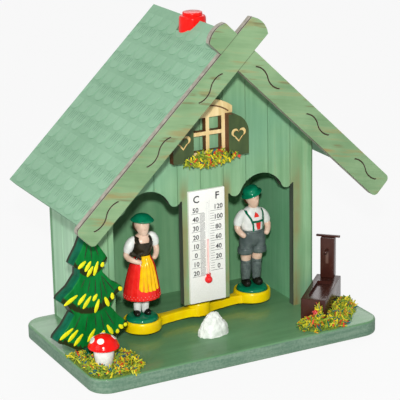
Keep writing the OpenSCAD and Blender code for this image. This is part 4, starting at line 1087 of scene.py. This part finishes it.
def drawn(name, paint, rings, sides=28, ripple=None):
    """A soft body drawn from ring to ring: each has a centre in millimetres over the foot, the way it
    looks and its two half widths. ripple changes the width by the ring and the angle."""
    piece = begin("circle", name, vertices=sides, radius=1, fill_type="NGON")
    for ring in rings[1:]:
        pull(0, 0, 1)
    frames, aside = [], Vector((1, 0, 0))
    for centre, way, wide, deep in rings:
        way = Vector(way).normalized()
        aside = (aside - way * aside.dot(way)).normalized()
        frames.append((Vector(centre), aside * wide, way.cross(aside) * deep))

    def on_ring(spot):
        index, angle = round(spot.z), math.atan2(spot.y, spot.x)
        centre, wide, deep = frames[index]
        swell = 1 + (ripple(index, angle) if ripple else 0)
        return (centre + (wide * math.cos(angle) + deep * math.sin(angle)) * swell) * MM

    reshape(piece, on_ring)
    close(piece, 60)
    alter(piece, "SUBSURF", levels=1, render_levels=1)
    wear(piece, paint)


def limb(name, paint, points, sides=14):
    """An arm or leg through points of a place and a thickness, with round ends."""
    places = [Vector(point[:3]) for point in points]
    rings = []
    for index, (x, y, z, thick) in enumerate(points):
        way = places[min(index + 1, len(points) - 1)] - places[max(index - 1, 0)]
        rings.append((places[index], way, thick, thick))
    ends = []
    for (centre, way, thick, _), ahead in ((rings[0], -0.6), (rings[-1], 0.6)):
        ends.append((centre + way.normalized() * thick * ahead, way, thick * 0.55, thick * 0.55))
    drawn(name, paint, ends[:1] + rings + ends[1:], sides)


def limbs(name, paint, points, sides=14, shift=0.0):
    """The same limb on both sides. shift moves the one on the right."""
    for side, more in ((-1, 0), (1, shift)):
        limb(f"{name}_{side + 1}", paint, [(side * x + more, *rest) for x, *rest in points], sides)


def level(*rows):
    """Level rings, each from its height, half width, half depth and the place of its centre."""
    def ring(z, wide, deep, x, y=0):
        return (x, y, z), UP, wide, deep
    return [ring(*row) for row in rows]


def front_of(rings):
    """How far in front a body of level rings lies at a place across and up."""
    def front(x, z):
        for (below, _, wide0, deep0), (above, _, wide1, deep1) in zip(rings, rings[1:]):
            if below[2] <= z <= above[2]:
                share = (z - below[2]) / max(above[2] - below[2], 1e-9)
                wide, deep = wide0 + (wide1 - wide0) * share, deep0 + (deep1 - deep0) * share
                cx = below[0] + (above[0] - below[0]) * share
                cy = below[1] + (above[1] - below[1]) * share
                return cy - deep * math.sqrt(max(0.02, 1 - ((x - cx) / wide) ** 2))
        return 0
    return front


def band(name, paint, front, thick, line):
    """A flat band along line, a row of (across, up, width), laid on a body's front."""
    def along_line(spot):
        along = (spot.y + 1) / 2 * (len(line) - 1)
        index = min(int(along), len(line) - 2)
        start, end = Vector(line[index]), Vector(line[index + 1])
        x, z, wide = start.lerp(end, along - index)
        run = Vector((end.x - start.x, end.y - start.y)).normalized()
        x, z = x + run.y * spot.x * wide / 2, z - run.x * spot.x * wide / 2
        return Vector((x, front(x, z) + 0.15, z)) * MM

    piece = begin("grid", name, x_subdivisions=4, y_subdivisions=20, size=2)
    reshape(piece, along_line)
    pull(0, -(thick + 0.15) * MM, 0)
    wear(close(piece, 40), paint)


def bands(name, paint, front, thick, line):
    """A band on each side, along a row of (middle, distance aside, up, width)."""
    for side in (-1, 1):
        own_line = [(middle + side * aside, up, wide) for middle, aside, up, wide in line]
        band(f"{name}_{side + 1}", paint, front, thick, own_line)


def hat(name, outline, place, tilt):
    """A turned hat, set on the head at a place over the foot and tilted sideways."""
    wear(close(turned(name, outline), 50), foot_green, ON_FOOT @ placed(place, tilt, "Y"))


def gloss(name, low, high, rough=0.07, grain=260):
    """A hand-painted glossy colour that is a little uneven."""
    return coat(name, low, high, grain, 3, rough, 0.22, (0.4, 0.35), 0.08)


foot_green = gloss("foot_green_gloss", (4, 112, 76), (12, 130, 92))
skin = gloss("doll_skin", (216, 180, 154), (236, 206, 184), 0.16)
white_cloth = gloss("white_painted_cloth", (216, 220, 213), (241, 243, 237), 0.26)
shoe_black = gloss("shoe_black_gloss", (14, 15, 10), (34, 34, 26))
skirt_red = gloss("skirt_red_gloss", (234, 32, 28), (248, 48, 40))
apron_yellow = gloss("apron_yellow_gloss", (246, 186, 0), (254, 204, 2))
bodice_dark = gloss("bodice_dark_gloss", (28, 25, 16), (54, 48, 34))
hair = gloss("hair_brown", (58, 40, 24), (92, 66, 40), 0.4, 900)
pale_dot = gloss("hem_dots", (226, 96, 88), (238, 138, 128), 0.4)

stand("woman", -1, -15)
limbs("woman_sock", white_cloth, [
    (2.0, 0.8, 1.2, 1.9), (2.0, 0.8, 3.0, 1.85), (2.0, 0.8, 4.4, 2.05), (1.95, 0.6, 6.4, 1.95),
    (1.9, 0.4, 10.5, 1.9)])
limbs("woman_shoe", shoe_black, [
    (2.3, 2.4, 1.0, 1.3), (2.5, 1.0, 1.2, 1.75), (2.7, -0.8, 1.1, 1.85), (2.8, -2.2, 0.9, 1.5)])
skirt = level(
    (9.3, 8.7, 7.8, 0.3), (9.4, 9.2, 8.3, 0.3), (10.0, 9.4, 8.5, 0.3), (12.5, 9.15, 8.3, 0.3),
    (16, 8.55, 7.7, 0.4), (20, 7.8, 7.0, 0.5), (23.5, 7.0, 6.3, 0.7), (26, 6.3, 5.7, 0.8),
    (28, 5.4, 4.9, 0.9), (29.6, 4.5, 4.0, 1.0), (31.2, 4.0, 3.5, 1.0))
on_skirt = front_of(skirt)
drawn("woman_skirt", skirt_red, skirt, 72,
      lambda index, angle: 0.016 * math.cos(18 * angle) * max(0, 1 - index / 9))
APRON_LOW, APRON_TOP, APRON_T = 14.2, 31.1, 0.8 * MM


def pleated(spot):
    """Where a point of the flat apron hangs in front of the skirt, in five pleats."""
    across, up = spot.x, (spot.y + 1) / 2
    z = APRON_LOW + 1.8 * abs(across) ** 5 * (1 - up) + (APRON_TOP - APRON_LOW) * up
    angle = across * math.radians(40 - 6 * up) + math.radians(14)
    pleat = 0.30 * math.cos(across * 5 * math.pi) * (1 - 0.6 * up)
    middle = 0.3 + 0.7 * up
    reach = 0.25 + pleat - on_skirt(middle, z)
    return Vector((middle + reach * 1.1 * math.sin(angle), -reach * math.cos(angle), z)) * MM


apron = begin("grid", "woman_apron", x_subdivisions=40, y_subdivisions=26, size=2)
reshape(apron, pleated)
pull(0, APRON_T, 0)
wear(close(apron, 60), apron_yellow)

trunk = level(
    (30.4, 3.9, 3.3, 1.0), (31.4, 4.1, 3.5, 1.0), (33, 4.4, 3.8, 1.1), (35, 4.9, 4.3, 1.2),
    (37, 5.2, 4.4, 1.3), (38.8, 5.1, 4.0, 1.3), (40.2, 4.3, 3.2, 1.3), (41.2, 2.8, 2.4, 1.2),
    (41.9, 2.0, 1.9, 1.1))
drawn("woman_chest", skin, trunk, 32)
drawn("woman_bodice", bodice_dark, level(
    (30.3, 4.15, 3.55, 1.0), (31.4, 4.35, 3.75, 1.0), (33, 4.65, 4.05, 1.1), (35, 5.15, 4.5, 1.2),
    (36.8, 5.35, 4.6, 1.3), (37.8, 5.3, 4.5, 1.3), (38.0, 5.0, 4.25, 1.3)), 32)
bands("woman_strap", bodice_dark, front_of(trunk), 0.35, [
    (1.2, 2.9, 37.0, 2.1), (1.2, 3.5, 38.8, 1.8), (1.2, 3.5, 40.0, 1.7), (1.2, 3.1, 40.8, 1.6)])
limb("woman_sleeve_0", white_cloth, [
    (-2.7, 0.2, 39.6, 1.5), (-4.0, 0.1, 38.6, 2.2), (-5.2, -0.1, 36.9, 2.5), (-6.0, -0.3, 34.9, 2.45),
    (-6.8, -0.5, 33.2, 2.1)], 18)
limb("woman_sleeve_2", white_cloth, [
    (5.4, 0.3, 40.7, 1.7), (6.5, 0.3, 40.0, 2.3), (7.2, 0.3, 38.3, 2.5), (7.6, 0.2, 36.6, 2.3),
    (7.8, 0.1, 35.4, 1.9)], 18)
limb("woman_arm_0", skin, [
    (-6.8, -0.4, 33.6, 1.6), (-7.6, -0.9, 32.0, 1.65), (-7.3, -2.2, 31.0, 1.6), (-5.8, -4.0, 30.2, 1.45),
    (-4.0, -5.2, 29.6, 1.25), (-2.8, -5.7, 29.3, 1.35), (-1.8, -6.0, 29.0, 1.1)])
limb("woman_arm_2", skin, [
    (7.8, 0.1, 35.8, 1.5), (8.3, -0.3, 33.8, 1.55), (7.9, -1.5, 32.0, 1.5), (6.9, -3.0, 30.7, 1.35),
    (5.9, -4.1, 30.0, 1.3)])
limb("woman_neck", skin, [(0.9, -0.1, 40.6, 2.0), (1.0, -0.4, 42.6, 1.9)])
for part, line in (("knot", [(-2.9, -4.4, 32.4, 1.2), (-2.5, -4.7, 32.0, 1.2)]),
                   ("loop_0", [(-3.3, -4.3, 32.5, 0.8), (-4.9, -4.4, 33.5, 1.4), (-6.2, -4.0, 33.2, 1.0)]),
                   ("loop_1", [(-2.5, -4.6, 32.6, 0.8), (-0.9, -4.9, 33.4, 1.3), (0.3, -4.9, 33.1, 0.9)]),
                   ("tail_0", [(-2.9, -4.7, 31.8, 0.8), (-3.9, -5.2, 30.8, 0.7)]),
                   ("tail_1", [(-2.3, -4.8, 31.8, 0.8), (-1.5, -5.4, 30.6, 0.7)])):
    limb(f"woman_bow_{part}", bodice_dark, line, 12)
limb("woman_nose", skin, [(1.5, -3.5, 46.2, 0.5), (1.6, -3.9, 45.3, 0.65), (1.7, -4.0, 44.6, 0.7)], 10)
drawn("woman_head", skin, level(
    (40.9, 1.0, 1.1, 1.6, -1.8), (41.5, 1.8, 2.0, 1.5, -1.5), (42.9, 2.7, 3.0, 1.4, -0.9),
    (44.6, 3.4, 3.7, 1.3, -0.4), (46.4, 3.85, 4.0, 1.2, -0.1), (47.6, 3.85, 4.0, 1.2), (48.6, 3.0, 3.1, 1.2),
    (49.2, 1.6, 1.7, 1.2)))
drawn("woman_hair", hair, level(
    (41.6, 1.5, 1.0, 1.1, 2.6), (42.6, 2.7, 1.9, 1.1, 2.2), (44.6, 3.7, 2.7, 1.1, 1.9),
    (46.6, 4.15, 3.0, 1.1, 1.6), (48.2, 3.8, 2.8, 1.1, 1.5)), 24)
hat("woman_beret", [
    (3.8, 0), (5.2, 0.1), (5.7, 0.4), (5.75, 0.8), (5.4, 1.25), (4.75, 1.75), (4.1, 2.5), (3.2, 3.2),
    (2.0, 3.65), (0.9, 3.8), (0.2, 3.82)], (1.6, 0.1, 47.9), 4)

dot = begin("uv_sphere", "hem_dot", segments=10, ring_count=6, radius=0.5)
pick("VERT", lambda vert: vert.co.y > 1e-4)
bpy.ops.transform.resize(value=(1, 0.2, 1))
close(dot, 60)
places = []
for turn in range(0, 360, 12):
    for row, z in enumerate((10.6, 11.7)):
        angle = math.radians(turn + 6 * row)
        rim = 9.4 - 0.09 * (z - 10)
        spot = Vector((0.3 + rim * math.sin(angle), -rim * 0.9 * math.cos(angle), z)) * MM
        places.append(Matrix.Translation(spot) @ Matrix.Rotation(angle, 4, "Z")
                      @ Matrix.Diagonal((0.55 * MM, 0.3 * MM, 0.5 * MM, 1)))
wear(scatter("woman_hem_dots", dot, places), pale_dot)
bpy.data.objects.remove(dot)

# Man: the other figure, for foul weather, moulded and painted in the same way, in a green hat, a white
# shirt with green braces and a red tie, and grey shorts and socks, with both hands in the pockets. Its
# foot is glued into the right cup.
RIGHT_ARM_OUT = 0.6
grey = gloss("shorts_grey_gloss", (74, 87, 85), (98, 110, 107), 0.2)
sock_grey = gloss("sock_grey", (78, 90, 88), (104, 116, 112), 0.3, 700)
brace_green = gloss("brace_green_gloss", (0, 92, 62), (8, 112, 78))
tie_red = gloss("tie_red_gloss", (222, 34, 24), (236, 54, 38))

stand("man", 1, -12)
limbs("man_shoe", shoe_black, [
    (3.0, 2.6, 1.5, 1.8), (3.1, 1.2, 1.7, 2.4), (3.2, -0.8, 1.6, 2.5), (3.4, -2.4, 1.3, 2.1)])
limbs("man_sock", sock_grey, [
    (3.0, 1.0, 2.8, 2.2), (2.95, 0.9, 4.6, 2.4), (2.95, 0.8, 7.2, 2.7), (2.95, 0.7, 10, 2.85),
    (3.0, 0.6, 12.4, 2.8)])
limbs("man_cuff", sock_grey, [(3.0, 0.6, 12.6, 2.95), (3.0, 0.6, 13.6, 3.0)], 18)
limbs("man_knee", skin, [(3.1, 0.4, 13.6, 2.7), (3.1, 0.2, 15.6, 2.85), (3.2, 0.3, 19, 2.85)])
# A leg of the shorts: height, half width, half depth, distance aside and the middle between the legs.
SHORTS = [
    (17.2, 3.5, 3.3, 3.6, 0.3), (17.4, 4.0, 3.8, 3.65, 0.3), (18.2, 4.3, 4.1, 3.65, 0.3),
    (20.1, 4.3, 4.15, 3.6, 0.3), (20.5, 4.2, 4.05, 3.6, 0.3), (20.6, 3.7, 3.6, 3.5, 0.4),
    (21.2, 3.7, 3.65, 3.4, 0.4), (23.5, 4.0, 4.0, 3.25, 0.5), (26.3, 4.15, 4.1, 2.85, 0.6),
    (28.8, 4.2, 4.1, 2.5, 0.7), (29.9, 4.1, 4.0, 2.3, 0.7)]
for side in (-1, 1):
    drawn(f"man_shorts_{side + 1}", grey, level(
        *[(z, wide, deep, side * aside + middle) for z, wide, deep, aside, middle in SHORTS]))
drawn("man_seat", grey, level(
    (20.6, 2.6, 3.2, 0.5), (23, 4.8, 4.0, 0.5), (26.5, 6.0, 4.2, 0.6), (29.2, 6.3, 4.3, 0.7),
    (30.0, 6.1, 4.2, 0.7)), 32)
drawn("man_belt", grey, level(
    (28.4, 6.4, 4.5, 0.7), (28.7, 6.6, 4.65, 0.7), (29.8, 6.55, 4.6, 0.7), (30.2, 6.3, 4.4, 0.7)), 36)
shirt = level(
    (29.2, 6.0, 4.2, 0.7), (31, 6.2, 4.4, 0.7), (33.5, 6.4, 4.6, 0.8), (36.2, 6.6, 4.6, 0.8),
    (38.6, 6.3, 4.2, 0.8), (40.2, 5.3, 3.5, 0.7), (41.2, 3.8, 2.9, 0.6), (42.0, 2.5, 2.4, 0.5))
drawn("man_shirt", white_cloth, shirt, 36)
limbs("man_sleeve", white_cloth, [
    (4.2, 0.2, 39.4, 1.9), (5.6, 0.1, 38.0, 2.4), (6.8, 0, 35.9, 2.55), (7.5, -0.1, 34.2, 2.45),
    (7.8, -0.2, 33.2, 2.2)], 18, RIGHT_ARM_OUT)
limbs("man_arm", skin, [
    (7.8, -0.2, 33.6, 1.75), (8.3, -0.7, 31.8, 1.75), (7.8, -2.0, 30.1, 1.6), (6.7, -3.4, 28.9, 1.5),
    (5.8, -4.2, 28.1, 1.4)], 14, RIGHT_ARM_OUT)
on_shirt = front_of(shirt)
bands("man_brace", brace_green, on_shirt, 0.3, [
    (2.2, 2.9, 29.8, 0.85), (2.0, 3.0, 33.6, 0.85), (1.4, 3.4, 36.4, 0.9), (0.7, 4.4, 39.4, 0.95),
    (0.5, 4.3, 40.6, 0.95)])
bands("man_collar", white_cloth, on_shirt, 0.45, [
    (0.6, 0.4, 39.6, 1.2), (0.6, 1.5, 40.8, 1.6), (0.5, 2.4, 41.6, 1.3)])
band("man_crossbar", brace_green, on_shirt, 0.35, [(-1.6, 35.0, 1.05), (1.6, 34.9, 1.05), (4.8, 35.2, 1.05)])
band("man_tie_knot", tie_red, on_shirt, 0.4, [(0.9, 39.9, 0.5), (0.95, 38.4, 2.1), (1.0, 37.4, 2.5)])
band("man_tie_end", tie_red, on_shirt, 0.3, [(1.8, 34.5, 2.6), (2.0, 32.2, 2.2), (2.1, 30.6, 1.5)])
limb("man_neck", skin, [(0.5, -0.1, 41.0, 2.1), (0.3, -0.2, 43.0, 2.0)])
limb("man_nose", skin, [(1.4, -3.1, 46.9, 0.5), (1.7, -3.4, 46.0, 0.65), (1.9, -3.5, 45.3, 0.7)], 10)
drawn("man_head", skin, level(
    (41.6, 1.0, 1.1, 1.2, -1.7), (42.2, 1.8, 2.0, 1.1, -1.4), (43.6, 2.7, 3.0, 0.8, -0.9),
    (45.4, 3.4, 3.7, 0.5, -0.4), (47.0, 3.75, 3.9, 0.3, -0.1), (48.2, 3.75, 3.9, 0.2), (49.1, 3.0, 3.1, 0.2),
    (49.7, 1.6, 1.6, 0.2)))
drawn("man_hair", hair, level(
    (42.7, 1.7, 1.2, 0.2, 2.2), (43.7, 2.8, 2.0, 0.2, 1.9), (45.7, 3.75, 2.8, 0.2, 1.5),
    (47.7, 4.0, 3.0, 0.2, 1.2), (48.7, 3.5, 2.6, 0.2, 1.2)), 24)
hat("man_hat", [
    (3.4, 0.5), (4.5, 0.35), (5.25, 0.0), (5.45, 0.25), (5.3, 0.6), (4.6, 0.95), (4.2, 1.3), (4.1, 2.0),
    (3.9, 2.9), (3.4, 3.6), (2.4, 4.0), (1.0, 4.15), (0.2, 4.16)], (0.5, 0.2, 48.5), -21)

# Studio: a wide pale floor under the object, a small lamp just over the camera, broad ones on the left and
# behind, and a plain bright room. The floor looks white and still takes the object's soft shadow.
ROOM_DIM, FLOOR_GLOW, LAMP_OVER = 0.24, 0.9, 65 * MM
CAMERA_AT = (-0.35663, -0.69347, 0.31701)
CAMERA_TURN = ((0.88619, 0.15551, -0.43644), (-0.46294, 0.25896, -0.84772), (-0.01881, 0.95329, 0.30148))


def shown(tone):
    """1 for rays that show the camera something, straight, in a gloss or through glass, and 0 for light."""
    rays = tone.node("LightPath").socket.node.outputs
    kinds = [Tone(tone.tree, rays[f"Is {kind} Ray"]) for kind in ("Camera", "Glossy", "Transmission")]
    return sum(kinds[1:], kinds[0]).step(0, 1)


def set_up(name, data, place):
    """Stands a lamp or camera in the studio."""
    holder = bpy.data.objects.new(name, data)
    holder.matrix_world = place
    bpy.context.scene.collection.objects.link(holder)
    return holder


floor = close(begin("plane", "studio_floor", size=6, location=(0, 0, -0.2 * MM)))
ground = Finish("studio_white", 1.0, 0.0, Base_Color=(0.66, 0.66, 0.66, 1))
glow = ground.place.node("Emission", {}, {"Color": (1, 1, 1, 1), "Strength": 1.0})
ground.cover(shown(ground.place) * FLOOR_GLOW, glow)
floor.data.materials.append(ground.paint)

room = bpy.data.worlds.new("studio_room")
bpy.context.scene.world = room
room.use_nodes = True
walls = room.node_tree.nodes["Background"]
light = ROOM_DIM + shown(Tone(room.node_tree, walls.outputs[0])) * (1 - ROOM_DIM)
light.tree.links.new(light.socket, walls.inputs["Strength"])
walls.inputs["Color"].default_value = (1, 1, 1, 1)

SUNS = [("left_lamp", -76, 32, 0.7, 30), ("back_lamp", 150, 38, 0.8, 40)]
for name, azimuth, elevation, power, spread in SUNS:
    lamp = bpy.data.lights.new(name, "SUN")
    lamp.energy, lamp.angle = power, math.radians(spread)
    aim = outward(azimuth, elevation)
    set_up(name, lamp, Matrix.Translation(aim) @ aim.to_track_quat("Z", "Y").to_matrix().to_4x4())

eye = bpy.data.cameras.new("camera")
eye.lens, eye.sensor_width, eye.clip_start = 149.86, 36, 0.05
camera = set_up("camera", eye, Matrix.Translation(CAMERA_AT) @ Matrix(CAMERA_TURN).to_4x4())
bpy.context.scene.camera = camera

flash = bpy.data.lights.new("camera_lamp", "AREA")
flash.shape, flash.size, flash.energy = "DISK", 30 * MM, 5.4
flash_holder = set_up("camera_lamp", flash, camera.matrix_world @ Matrix.Translation((0, LAMP_OVER, 0)))
flash_holder.visible_camera = False
bpy.context.scene.view_settings.view_transform = "Standard"
